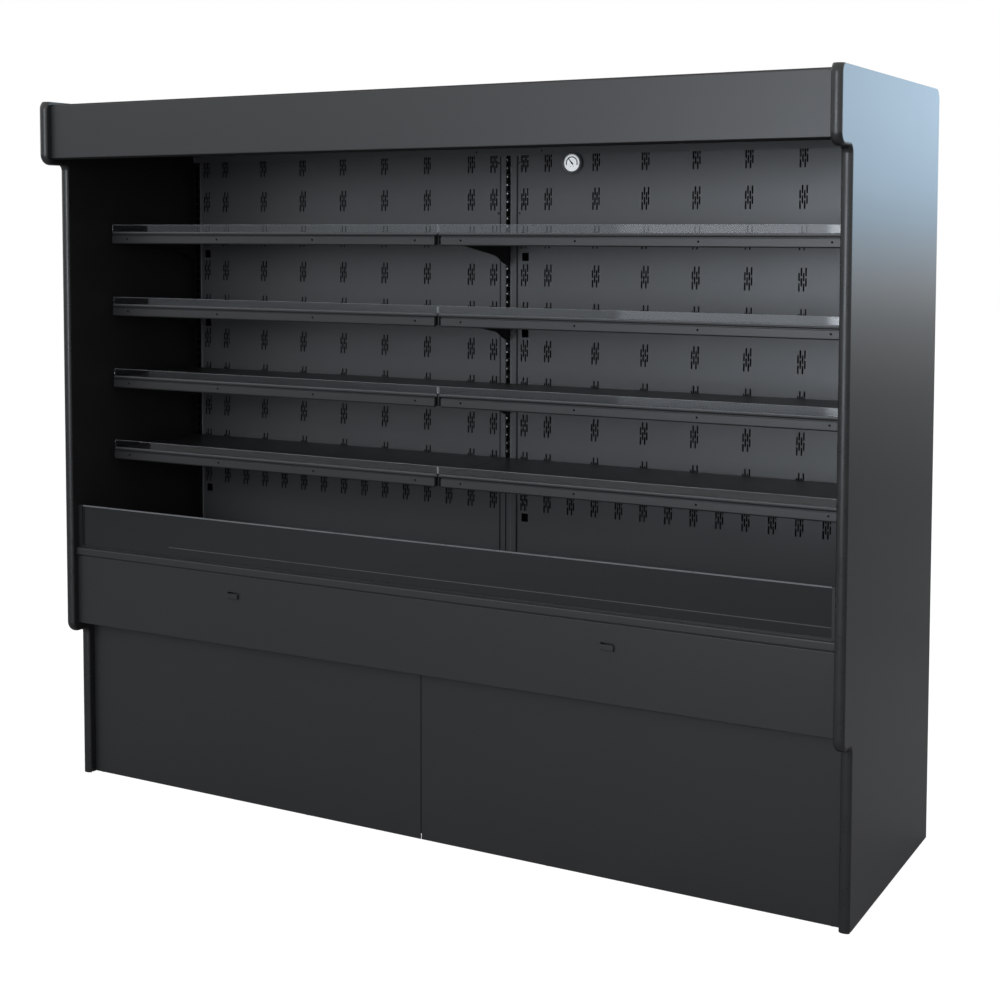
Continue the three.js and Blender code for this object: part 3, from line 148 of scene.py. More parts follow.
class Bench:
    """The modelling moves that every sub-assembly uses, each made of Blender's own operators."""

    @staticmethod
    def clear() -> None:
        """Leaves edit mode and deselects everything."""
        if bpy.context.object and bpy.context.object.mode != "OBJECT":
            bpy.ops.object.mode_set(mode="OBJECT")
        bpy.ops.object.select_all(action="DESELECT")

    @staticmethod
    def pick(piece: Piece) -> None:
        """Makes a piece the only selected and the active object.

        Args:
            piece: the object to work on.
        """
        Bench.clear()
        piece.select_set(True)
        bpy.context.view_layer.objects.active = piece

    @staticmethod
    def settle(piece: Piece, name: str) -> Piece:
        """Names a new piece and moves its place, turn and scale into its mesh.

        Args:
            piece: the new object.
            name: its name.

        Returns:
            The same object.
        """
        piece.name = name
        piece.data.name = name
        Bench.pick(piece)
        bpy.ops.object.transform_apply(location=True, rotation=True, scale=True)
        return piece

    @staticmethod
    def block(name: str, low: Vector, high: Vector) -> Piece:
        """A box between two corners.

        Args:
            name: the piece's name.
            low: the lowest corner.
            high: the highest corner.

        Returns:
            The new piece.
        """
        Bench.clear()
        span = Vector((abs(high[i] - low[i]) for i in range(3)))
        bpy.ops.mesh.primitive_cube_add(size=1, location=(low + high) / 2, scale=span)
        return Bench.settle(bpy.context.object, name)

    @staticmethod
    def slab(name: str, xs: Flat, reaches: Flat, heights: Flat) -> Piece:
        """A box given by its spans in x, distance from the rear, and height, in millimetres."""
        return Bench.block(
            name, at(xs[0], reaches[1], heights[0]), at(xs[1], reaches[0], heights[1])
        )

    @staticmethod
    def bar(
        name: str, xs: Flat, reaches: Flat, heights: Flat, width: float, steps: int = 2,
        angle: float = 30.0,
    ) -> Piece:
        """A slab with softened edges: the arguments are those of slab and of soften."""
        return Bench.soften(Bench.slab(name, xs, reaches, heights), width, steps, angle)

    @staticmethod
    def round_bar(
        name: str, centre: Vector, axis: Axis, radius: float, length: float, sides: int = 24
    ) -> Piece:
        """A cylinder about one of the main directions.

        Args:
            name: the piece's name.
            centre: its middle, in metres.
            axis: the direction it lies along.
            radius: in metres.
            length: in metres.
            sides: how many facets it has.

        Returns:
            The new piece.
        """
        turn = {
            Axis.X: (0.0, math.pi / 2, 0.0),
            Axis.Y: (math.pi / 2, 0.0, 0.0),
            Axis.Z: (0.0, 0.0, 0.0),
        }[axis]
        Bench.clear()
        bpy.ops.mesh.primitive_cylinder_add(
            vertices=sides, radius=radius, depth=length, location=centre, rotation=turn
        )
        return Bench.settle(bpy.context.object, name)

    @staticmethod
    def select_where(piece: Piece, kind: str, test: Callable[[Vector], bool]) -> None:
        """Selects the vertices, edges or faces whose middle passes a test, in edit mode.

        Args:
            piece: the object to work on.
            kind: "VERT", "EDGE" or "FACE".
            test: takes a middle point in metres.
        """
        Bench.pick(piece)
        bpy.ops.object.mode_set(mode="EDIT")
        bpy.ops.mesh.select_mode(type=kind)
        bpy.ops.mesh.select_all(action="DESELECT")
        bpy.ops.object.mode_set(mode="OBJECT")
        mesh = piece.data
        if kind == "VERT":
            for vertex in mesh.vertices:
                vertex.select = test(vertex.co)
        elif kind == "EDGE":
            for edge in mesh.edges:
                a, b = (mesh.vertices[i].co for i in edge.vertices)
                edge.select = test((a + b) / 2)
        else:
            for face in mesh.polygons:
                face.select = test(face.center)
        bpy.ops.object.mode_set(mode="EDIT")

    @staticmethod
    def round_corner(piece: Piece, corner: Vector, radius: float, steps: int) -> None:
        """Rounds one corner of an outline in edit mode.

        Args:
            piece: the outline.
            corner: its place, in metres.
            radius: in metres.
            steps: facets of the round.
        """
        Bench.select_where(piece, "VERT", lambda p: (p - corner).length < NEAR)
        bpy.ops.mesh.bevel(offset=radius, offset_type="OFFSET", segments=steps, affect="VERTICES")

    @staticmethod
    def heal(doubles: bool = True) -> None:
        """Ends an edit: merges doubles if asked, turns every face outwards, leaves edit mode."""
        bpy.ops.mesh.select_all(action="SELECT")
        if doubles:
            bpy.ops.mesh.remove_doubles(threshold=MERGE)
        bpy.ops.mesh.normals_make_consistent(inside=False)
        bpy.ops.object.mode_set(mode="OBJECT")

    @staticmethod
    def draw(name: str, points: Sequence[Vector], closed: bool = True) -> Piece:
        """Draws a line of edges through the points, as by extruding one vertex again and again.

        Args:
            name: the piece's name.
            points: the corners, in metres.
            closed: whether the last point is joined to the first.

        Returns:
            The new piece, still in edit mode with all of it selected.
        """
        Bench.clear()
        bpy.ops.mesh.primitive_plane_add(size=MM, location=(0, 0, 0))
        piece = bpy.context.object
        piece.name = name
        bpy.ops.object.mode_set(mode="EDIT")
        bpy.ops.mesh.select_mode(type="VERT")
        bpy.ops.mesh.select_all(action="SELECT")
        bpy.ops.mesh.merge(type="CENTER")
        bpy.ops.transform.translate(value=points[0])
        for before, after in zip(points, points[1:]):
            bpy.ops.mesh.extrude_region_move(TRANSFORM_OT_translate={"value": after - before})
        if closed:
            bpy.ops.mesh.select_all(action="DESELECT")
            bpy.ops.object.mode_set(mode="OBJECT")
            for end in (0, -1):
                piece.data.vertices[end].select = True
            bpy.ops.object.mode_set(mode="EDIT")
            bpy.ops.mesh.edge_face_add()
        bpy.ops.mesh.select_all(action="SELECT")
        return piece

    @staticmethod
    def prism(
        name: str, points: Sequence[Vector], push: Vector,
        rounds: Sequence[tuple[Vector, float]] = (), steps: int = 6,
    ) -> Piece:
        """A flat outline with some corners rounded, pushed out into a solid.

        Args:
            name: the piece's name.
            points: the outline's corners, in metres.
            push: how far and which way the outline is extruded.
            rounds: corners to round and their radii, in metres.
            steps: facets of each round corner.

        Returns:
            The new piece.
        """
        piece = Bench.draw(name, points)
        bpy.ops.mesh.edge_face_add()
        for corner, radius in rounds:
            Bench.round_corner(piece, corner, radius, steps)
        bpy.ops.mesh.select_mode(type="FACE")
        bpy.ops.mesh.select_all(action="SELECT")
        bpy.ops.mesh.extrude_region_move(TRANSFORM_OT_translate={"value": push})
        Bench.heal(False)
        return Bench.settle(piece, name)

    @staticmethod
    def sheet(
        name: str, line: Sequence[Flat], xs: Flat, thickness: float, radius: float = 1.5,
        steps: int = 3,
    ) -> Piece:
        """A sheet folded along X: a side profile, pulled out, its folds rounded, then thickened.

        Args:
            name: the piece's name.
            line: the outer face's folds as (distance from the rear, height), in millimetres,
                with the material on the right of the walk.
            xs: where it starts and ends along X, in millimetres.
            thickness: in millimetres.
            radius: of the folds, in millimetres.
            steps: facets of each fold.

        Returns:
            The new piece.
        """
        piece = Bench.draw(name, [at(xs[0], r, z) for r, z in line], closed=False)
        for r, z in line[1:-1]:
            Bench.round_corner(piece, at(xs[0], r, z), radius * MM, steps)
        bpy.ops.mesh.select_mode(type="EDGE")
        bpy.ops.mesh.select_all(action="SELECT")
        bpy.ops.mesh.extrude_region_move(
            TRANSFORM_OT_translate={"value": ((xs[1] - xs[0]) * MM, 0, 0)}
        )
        Bench.heal(False)
        Bench.settle(piece, name)
        start, end = Vector(line[0]), Vector(line[1])
        along = (end - start).normalized()
        right = Vector((along.y, -along.x))
        outward = Vector((0.0, right.x, -right.y))
        middle = at(sum(xs) / 2, *((start + end) / 2))
        face = min(piece.data.polygons, key=lambda f: (f.center - middle).length)
        grow = piece.modifiers.new("Sheet", "SOLIDIFY")
        grow.thickness = thickness * MM
        grow.offset = -1.0 if face.normal.dot(outward) > 0 else 1.0
        grow.use_even_offset = True
        Bench.apply(piece)
        return Bench.face_out(piece)

    @staticmethod
    def face_out(piece: Piece) -> Piece:
        """Merges doubles and turns every face outwards."""
        Bench.pick(piece)
        bpy.ops.object.mode_set(mode="EDIT")
        Bench.heal()
        return piece

    @staticmethod
    def apply(piece: Piece) -> Piece:
        """Applies every modifier of a piece in order."""
        Bench.pick(piece)
        for modifier in list(piece.modifiers):
            bpy.ops.object.modifier_apply(modifier=modifier.name)
        return piece

    @staticmethod
    def soften(piece: Piece, width: float, steps: int = 2, angle: float = 30.0) -> Piece:
        """Rounds a piece's sharp edges and shades it smooth.

        Args:
            piece: the object to work on.
            width: the bevel's width in millimetres.
            steps: its segments.
            angle: edges sharper than this, in degrees, are rounded.

        Returns:
            The same object.
        """
        bevel = piece.modifiers.new("Edges", "BEVEL")
        bevel.width = width * MM
        bevel.segments = steps
        bevel.limit_method = "ANGLE"
        bevel.angle_limit = math.radians(angle)
        bevel.harden_normals = False
        Bench.apply(piece)
        return Bench.smooth(piece)

    @staticmethod
    def smooth(piece: Piece, angle: float = 35.0) -> Piece:
        """Shades a piece smooth below an angle given in degrees."""
        Bench.pick(piece)
        bpy.ops.object.shade_smooth_by_angle(angle=math.radians(angle))
        return piece

    @staticmethod
    def even_normals(piece: Piece) -> Piece:
        """Lets the large faces decide how round edges shade, so that flats look flat."""
        weigh = piece.modifiers.new("Normals", "WEIGHTED_NORMAL")
        weigh.keep_sharp = True
        return Bench.apply(piece)

    @staticmethod
    def cut(piece: Piece, cutter: Piece, folded: bool = False) -> Piece:
        """Takes a cutter away from a piece and removes the cutter.

        Args:
            piece: the object to cut.
            cutter: what cuts it.
            folded: whether the piece has folds so tight that their inner faces cross.

        Returns:
            The cut piece.
        """
        boolean = piece.modifiers.new("Cut", "BOOLEAN")
        boolean.object = cutter
        boolean.operation = "DIFFERENCE"
        boolean.solver = "EXACT"
        boolean.use_self = folded
        Bench.apply(piece)
        bpy.data.objects.remove(cutter)
        return piece

    @staticmethod
    def repeat(piece: Piece, count: int, step: Vector) -> Piece:
        """Repeats a piece in a row with its own mesh.

        Args:
            piece: the object to repeat.
            count: how many there are in all.
            step: from one to the next, in metres.

        Returns:
            The same object, now the whole row.
        """
        row = piece.modifiers.new("Row", "ARRAY")
        row.count = count
        row.use_relative_offset = False
        row.use_constant_offset = True
        row.constant_offset_displace = step
        return Bench.apply(piece)

    @staticmethod
    def copy(piece: Piece, name: str, shift: Vector) -> Piece:
        """A copy of a piece with its own mesh, shifted.

        Args:
            piece: the object to copy.
            name: the copy's name.
            shift: in metres.

        Returns:
            The copy.
        """
        twin = piece.copy()
        twin.data = piece.data.copy()
        bpy.context.scene.collection.objects.link(twin)
        twin.data.transform(Matrix.Translation(shift))
        twin.name = name
        twin.data.name = name
        return twin

    @staticmethod
    def flip(piece: Piece) -> Piece:
        """Mirrors a piece across the cabinet's middle and turns its faces outwards again."""
        piece.data.transform(Matrix.Scale(-1, 4, Vector((1, 0, 0))))
        piece.data.flip_normals()
        return piece

    @staticmethod
    def mirrored(piece: Piece, name: str) -> Piece:
        """A copy of a piece on the other side of the cabinet's middle, its faces outwards.

        Args:
            piece: the object to mirror.
            name: the copy's name.

        Returns:
            The mirrored copy.
        """
        return Bench.flip(Bench.copy(piece, name, Vector()))

    @staticmethod
    def join(name: str, pieces: Iterable[Piece]) -> Piece:
        """Joins several objects into one piece.

        Args:
            name: the piece's name.
            pieces: what it is made of.

        Returns:
            The joined piece.
        """
        parts = list(pieces)
        Bench.clear()
        for part in parts:
            part.select_set(True)
        bpy.context.view_layer.objects.active = parts[0]
        if len(parts) > 1:
            bpy.ops.object.join()
        joined = bpy.context.view_layer.objects.active
        joined.name = name
        joined.data.name = name
        return joined

    @staticmethod
    def turned(
        name: str, centre: Vector, profile: Sequence[Flat], steps: int = 48, axis: Axis = Axis.Y
    ) -> Piece:
        """A turned piece: a line of (radius, depth towards the front or top) spun round its axis.

        Args:
            name: the piece's name.
            centre: the axis' foot, in metres.
            profile: radius and depth in millimetres, from the axis out and back to it.
            steps: facets round the axis.
            axis: Y spins about the line towards the front, Z about the upright line, X across.

        Returns:
            The new piece.
        """
        lay = {
            Axis.Y: lambda r, d: Vector((r, -d, 0.0)),
            Axis.Z: lambda r, d: Vector((r, 0.0, d)),
            Axis.X: lambda r, d: Vector((d, 0.0, r)),
        }[axis]
        about = {Axis.Y: (0, 1, 0), Axis.Z: (0, 0, 1), Axis.X: (1, 0, 0)}[axis]
        piece = Bench.draw(name, [centre + lay(r, d) * MM for r, d in profile], closed=False)
        bpy.ops.mesh.spin(steps=steps, dupli=False, angle=2 * math.pi, center=centre, axis=about)
        Bench.heal()
        return Bench.settle(piece, name)

    @staticmethod
    def pipe(name: str, points: Sequence[Vector], radius: float, sides: int = 10) -> Piece:
        """A bent pipe along a smooth line.

        Args:
            name: the piece's name.
            points: the bends, in metres.
            radius: of the pipe, in millimetres.
            sides: facets round it.

        Returns:
            The new piece.
        """
        Bench.clear()
        bpy.ops.curve.primitive_bezier_curve_add(location=(0, 0, 0))
        piece = bpy.context.object
        curve = piece.data
        curve.splines.clear()
        spline = curve.splines.new("NURBS")
        spline.points.add(len(points) - 1)
        for knot, point in zip(spline.points, points):
            knot.co = (*point, 1.0)
        spline.use_endpoint_u = True
        spline.order_u = 3
        curve.dimensions = "3D"
        curve.resolution_u = 6
        curve.bevel_depth = radius * MM
        curve.bevel_resolution = max(1, sides // 4)
        curve.use_fill_caps = True
        Bench.pick(piece)
        bpy.ops.object.convert(target="MESH")
        piece = bpy.context.object
        Bench.settle(piece, name)
        Bench.face_out(piece)
        return Bench.smooth(piece, 60)


# ------------------------------------------------------------------ finishes


class NodePen:
    """Writes a material's node tree with few words."""

    def __init__(self, name: str) -> None:
        """Starts a material with one principled shader.

        Args:
            name: the material's name.
        """
        self.material = bpy.data.materials.new(name)
        self.material.use_nodes = True
        self.tree = self.material.node_tree
        self.shader = self.tree.nodes["Principled BSDF"]
        coordinates = self.tree.nodes.new("ShaderNodeTexCoord")
        self.place = coordinates.outputs["Object"]

    @classmethod
    def on(cls, tree: bpy.types.NodeTree) -> NodePen:
        """A pen for a tree that is no material's, such as the world's."""
        pen = cls.__new__(cls)
        pen.tree = tree
        return pen

    def add(self, kind: str, **values: object) -> bpy.types.Node:
        """Adds a node and sets its inputs or properties by name.

        Args:
            kind: the node's type.
            **values: sockets, with _ for a space, or properties of the node.

        Returns:
            The node.
        """
        node = self.tree.nodes.new(kind)
        for key, value in values.items():
            if hasattr(node, key):
                setattr(node, key, value)
            else:
                node.inputs[key.replace("_", " ")].default_value = value
        return node

    def link(self, source: Socket, target: Socket) -> None:
        """Links two sockets."""
        self.tree.links.new(source, target)

    def maths(self, operation: str, *values: Socket | float) -> Socket:
        """Adds a sum.

        Args:
            operation: what is done.
            *values: sockets or numbers.

        Returns:
            The result.
        """
        node = self.add("ShaderNodeMath", operation=operation)
        for target, value in zip(node.inputs, values):
            if isinstance(value, Socket):
                self.link(value, target)
            else:
                target.default_value = value
        return node.outputs["Value"]

    def noise(self, scale: float, detail: float = 4.0, stretch: Point = (1, 1, 1)) -> Socket:
        """A noise pattern on the object's own coordinates.

        Args:
            scale: how fine it is, per metre.
            detail: its octaves.
            stretch: the pattern's scale along each axis.

        Returns:
            The pattern.
        """
        mapping = self.add("ShaderNodeMapping", Scale=stretch)
        self.link(self.place, mapping.inputs["Vector"])
        noise = self.add("ShaderNodeTexNoise", Scale=scale, Detail=detail)
        self.link(mapping.outputs["Vector"], noise.inputs["Vector"])
        return noise.outputs["Fac"]

    def spread(
        self, source: Socket, low: float, high: float, start: float = 0.35, end: float = 0.65,
    ) -> Socket:
        """Maps a pattern from a narrow band to a range of values.

        Args:
            source: the pattern.
            low: the value at the band's start.
            high: the value at its end.
            start: the band's start.
            end: the band's end.

        Returns:
            The mapped value.
        """
        ranger = self.add("ShaderNodeMapRange", From_Min=start, From_Max=end, To_Min=low,
                          To_Max=high)
        self.link(source, ranger.inputs["Value"])
        return ranger.outputs["Result"]

    def tint(self, source: Socket, low: Point, high: Point) -> Socket:
        """Colours a pattern from one colour to another."""
        ramp = self.add("ShaderNodeValToRGB")
        for stop, place, colour in zip(ramp.color_ramp.elements, (0.3, 0.7), (low, high)):
            stop.position = place
            stop.color = (*colour, 1.0)
        self.link(source, ramp.inputs["Fac"])
        return ramp.outputs["Color"]

    def paint(self, source: Socket, colour: Point, low: float, high: float) -> None:
        """Sets the base colour: one colour, shaded between two factors by a pattern."""
        shades = self.tint(source, shade(colour, low), shade(colour, high))
        self.link(shades, self.shader.inputs["Base Color"])

    def gloss(self, source: Socket, low: float, high: float, *band: float) -> None:
        """Sets the roughness between two values by a pattern, over a band as spread takes it."""
        self.link(self.spread(source, low, high, *band), self.shader.inputs["Roughness"])

    def bump(self, source: Socket, strength: float, distance: float) -> None:
        """Raises the surface by a pattern.

        Args:
            source: the pattern.
            strength: from 0 to 1.
            distance: in metres.
        """
        bump = self.add("ShaderNodeBump", Strength=strength, Distance=distance)
        self.link(source, bump.inputs["Height"])
        self.link(bump.outputs["Normal"], self.shader.inputs["Normal"])

    def set(self, **values: object) -> None:
        """Sets the shader's own sockets by name, with _ for a space."""
        for key, value in values.items():
            self.shader.inputs[key.replace("_", " ")].default_value = value


def shade(colour: Point, factor: float) -> Point:
    """A colour made lighter or darker by a factor."""
    return tuple(min(1.0, channel * factor) for channel in colour)


@dataclass(frozen=True)
class PaintedSteel:
    """Powder coated sheet: a fine orange peel, slow changes of gloss and a trace of dust."""

    name: str
    slot: str
    colour: Point
    roughness: float = 0.34
    specular: float = 0.5
    peel: float = 0.05
    vary: float = 0.03

    def make(self) -> Material:
        """Builds the material."""
        pen = NodePen(self.name)
        pen.paint(pen.noise(2.2, 3.0), self.colour, 1 - self.vary, 1 + self.vary)
        pen.gloss(pen.noise(9.0, 5.0), self.roughness * 0.97, self.roughness * 1.04, 0.2, 0.8)
        pen.bump(pen.noise(420.0, 2.0), self.peel, 0.0004)
        pen.set(Specular_IOR_Level=self.specular)
        return pen.material


@dataclass(frozen=True)
class BareMetal:
    """Uncoated metal: a drawn grain along one direction and uneven shine."""

    name: str
    slot: str
    colour: Point
    roughness: float = 0.35
    grain: Point = (1.0, 1.0, 40.0)
    spangle: float = 0.0

    def make(self) -> Material:
        """Builds the material."""
        pen = NodePen(self.name)
        pen.set(Metallic=1.0)
        pattern = drawn = pen.noise(60.0, 3.0, self.grain)
        if self.spangle > 0:
            cells = pen.add("ShaderNodeTexVoronoi", Scale=self.spangle)
            pen.link(pen.place, cells.inputs["Vector"])
            pattern = cells.outputs["Distance"]
        pen.paint(pattern, self.colour, 0.86, 1.06)
        pen.gloss(drawn, self.roughness * 0.8, self.roughness * 1.2)
        pen.bump(drawn, 0.12, 0.0002)
        return pen.material


@dataclass(frozen=True)
class Moulded:
    """Moulded or extruded plastic with a fine skin and small changes of gloss."""

    name: str
    slot: str
    colour: Point
    roughness: float = 0.4
    grain: float = 900.0
    specular: float = 0.5

    def make(self) -> Material:
        """Builds the material."""
        pen = NodePen(self.name)
        wide = pen.noise(14.0, 3.0)
        pen.paint(wide, self.colour, 0.93, 1.07)
        pen.gloss(wide, self.roughness * 0.88, self.roughness * 1.12)
        pen.bump(pen.noise(self.grain, 2.0), 0.06, 0.0002)
        pen.set(Specular_IOR_Level=self.specular)
        return pen.material


@dataclass(frozen=True)
class Clear:
    """Clear or smoked sheet that lets light through, with faint smears in its gloss."""

    name: str
    slot: str
    colour: Point
    roughness: float = 0.04
    through: float = 1.0
    ior: float = 1.49
    alpha: float = 1.0

    def make(self) -> Material:
        """Builds the material."""
        pen = NodePen(self.name)
        smear = pen.noise(2.0, 3.0, (1.0, 1.0, 3.0))
        pen.gloss(smear, self.roughness, self.roughness * 1.5, 0.2, 0.8)
        pen.paint(smear, self.colour, 0.96, 1.0)
        pen.set(Transmission_Weight=self.through, IOR=self.ior, Alpha=self.alpha)
        return pen.material


@dataclass(frozen=True)
class Glowing:
    """Milky plastic that may glow from within: the unlit diffuser, and the dial's face, whose glow
    is painted light.
    """

    name: str
    slot: str
    colour: Point
    strength: float = 0.0

    def make(self) -> Material:
        """Builds the material."""
        pen = NodePen(self.name)
        pen.paint(pen.noise(30.0, 2.0), self.colour, 0.95, 1.0)
        pen.set(Roughness=0.3, Subsurface_Weight=0.2)
        pen.set(Emission_Color=(*self.colour, 1.0), Emission_Strength=self.strength)
        return pen.material


Finish = PaintedSteel | BareMetal | Moulded | Clear | Glowing


class Palette:
    """Every finish of the cabinet, each made once."""

    charcoal = PaintedSteel("charcoal_coat", "charcoal_steel", (0.0155, 0.0163, 0.0172), 0.34)
    fascia = PaintedSteel("fascia_coat", "charcoal_steel", (0.0205, 0.0216, 0.0229), 0.34)
    kick = PaintedSteel("kick_coat", "charcoal_steel", (0.0152, 0.0160, 0.0169), 0.36)
    rail = PaintedSteel("rail_coat", "charcoal_steel", (0.0190, 0.0200, 0.0210), 0.30)
    side = PaintedSteel("side_panel_coat", "charcoal_steel", (0.0125, 0.0130, 0.0138), 0.24)
    liner = PaintedSteel("end_liner_coat", "black_steel", (0.0092, 0.0094, 0.0098), 0.5, 0.3)
    duct = PaintedSteel("duct_coat", "black_steel", (0.0040, 0.0040, 0.0042), 0.7, 0.05)
    inner = PaintedSteel("inner_coat", "inner_steel", (0.0470, 0.0496, 0.0531), 0.34, 0.7)
    ceiling = PaintedSteel("ceiling_coat", "inner_steel", (0.0450, 0.0472, 0.0505), 0.4)
    shelf = PaintedSteel("shelf_coat", "charcoal_steel", (0.0165, 0.0173, 0.0182), 0.36)
    strip = PaintedSteel("ticket_strip_coat", "charcoal_steel", (0.0215, 0.0226, 0.0238), 0.33)
    # Painted shade: a matte dark finish for the shade in the groove and under the ticket strip.
    seal = Moulded("groove_shade_matte", "black_trim", (0.0150, 0.0153, 0.0158), 0.7, 900.0, 0.06)
    black = PaintedSteel("black_coat", "black_steel", (0.0060, 0.0060, 0.0065), 0.42, 0.3)
    bracket = PaintedSteel("bracket_coat", "charcoal_steel", (0.0050, 0.0052, 0.0056), 0.4, 0.3)
    enamel = PaintedSteel("black_enamel_coat", "black_enamel", (0.006, 0.006, 0.006), 0.18)
    trim = Moulded("bullnose_plastic", "black_trim", (0.0140, 0.0147, 0.0156), 0.29)
    dark_plastic = Moulded("dark_plastic", "black_trim", (0.0080, 0.0082, 0.0088), 0.4)
    grey_plastic = Moulded("grey_plastic", "grey_plastic", (0.14, 0.145, 0.15), 0.5)
    # The dial's face glows as painted light, so that it reads white in the shade under the canopy.
    white_plastic = Glowing("dial_face_glow", "dial_white", (0.90, 0.94, 0.97), 0.66)
    # The header's grey is lighter than the ceiling's as painted light, for the light that the
    # canopy keeps off it.
    header = PaintedSteel("header_painted_light_coat", "inner_steel", (0.0740, 0.0776, 0.0830), 0.4)
    # The case's grey is lightened well past the wall's as painted light, against the shade under
    # the canopy and inside its ring.
    dial_case = Moulded("dial_case_painted_light_plastic", "dial_white", (0.250, 0.259, 0.272), 0.45)
    # Painted highlight: an opaque pale grey for the light that the clear riser's edges catch.
    riser_edge = Moulded("polished_riser_edge", "clear_plastic", (0.32, 0.34, 0.36), 0.2)
    # Painted highlight: a pale band for the light that the glass's top edge catches.
    glass_edge = Moulded("ground_glass_edge", "smoked_glass", (0.105, 0.112, 0.120), 0.3)
    ink = Moulded("dial_ink", "needle_black", (0.012, 0.012, 0.012), 0.6)
    pale_ink = Moulded("dial_pale_ink", "needle_black", (0.22, 0.32, 0.45), 0.6)
    zinc = BareMetal("galvanised_sheet", "zinc_steel", (0.46, 0.47, 0.485), 0.46, spangle=110.0)
    # Painted highlight grey: the side uprights' folded edges and the lit right wall of the middle
    # upright's channel.
    edge_grey = PaintedSteel("upright_edge_highlight_coat", "inner_steel", (0.105, 0.111, 0.118), 0.4)
    foot = PaintedSteel("riser_foot_coat", "charcoal_steel", (0.060, 0.063, 0.067), 0.35)
    screw = BareMetal("screw_steel", "zinc_steel", (0.50, 0.51, 0.52), 0.3, (1, 1, 1))
    # Painted glint: bright steel for the glints on the middle upright's slot bars.
    bright = BareMetal("glint_steel", "zinc_steel", (0.62, 0.64, 0.66), 0.24, (30, 1, 1))
    aluminium = BareMetal("fin_aluminium", "aluminium", (0.78, 0.79, 0.80), 0.32, (1, 1, 30))
    copper = BareMetal("copper_tube", "aluminium", (0.80, 0.42, 0.26), 0.25, (1, 1, 1))
    glass = Clear("smoked_glass", "smoked_glass", (0.0110, 0.0122, 0.0135), 0.05, 0.0, 1.45)
    riser = Clear("clear_riser", "clear_plastic", (0.93, 0.95, 0.96), 0.012, 1.0, 1.45)
    # A less reflective copy of the riser finish for the lowest shelves: painted shade on the
    # floor's bright reflection there.
    low_riser = Clear("clear_low_riser", "clear_plastic", (0.93, 0.95, 0.96), 0.012, 1.0, 1.36)
    lens = Clear("dial_window", "lens_clear", (0.50, 0.51, 0.52), 0.02, 0.0, 1.45, 0.08)
    diffuser = Glowing("light_diffuser", "clear_plastic", (0.85, 0.88, 0.9))

    _made: dict[str, Material] = {}

    @classmethod
    def material(cls, finish: Finish) -> Material:
        """The material of a finish, made at its first use."""
        if finish.name not in cls._made:
            cls._made[finish.name] = finish.make()
        return cls._made[finish.name]


@dataclass
class SubAssembly:
    frame: dict

    def hand_over(
        self, piece: Piece, finish: Finish, *nodes: str, body: str = "cabinet"
    ) -> Piece:
        """Paints a finished piece, sets it on its body and hides what it stands for.

        Args:
            piece: the finished object.
            finish: its finish.
            *nodes: the CAD nodes that it replaces.
            body: the CAD body that it rides on.

        Returns:
            The same object.
        """
        piece.data.materials.clear()
        piece.data.materials.append(Palette.material(finish))
        Bench.even_normals(piece)
        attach(piece, body)
        if nodes:
            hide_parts(*nodes)
        log.info("%s: %d faces on %s", piece.name, len(piece.data.polygons), body)
        return piece

    def dress(self, finish: Finish, *nodes: str) -> None:
        """Gives CAD nodes that stay in view their finish.

        Args:
            finish: the finish.
            *nodes: the nodes' names.
        """
        for name in nodes:
            node = self.frame["nodes"][name]
            node.data.materials.clear()
            node.data.materials.append(Palette.material(finish))
            log.info("%s dressed in %s", name, finish.name)


# ------------------------------------------------------------------ the cabinet's shell


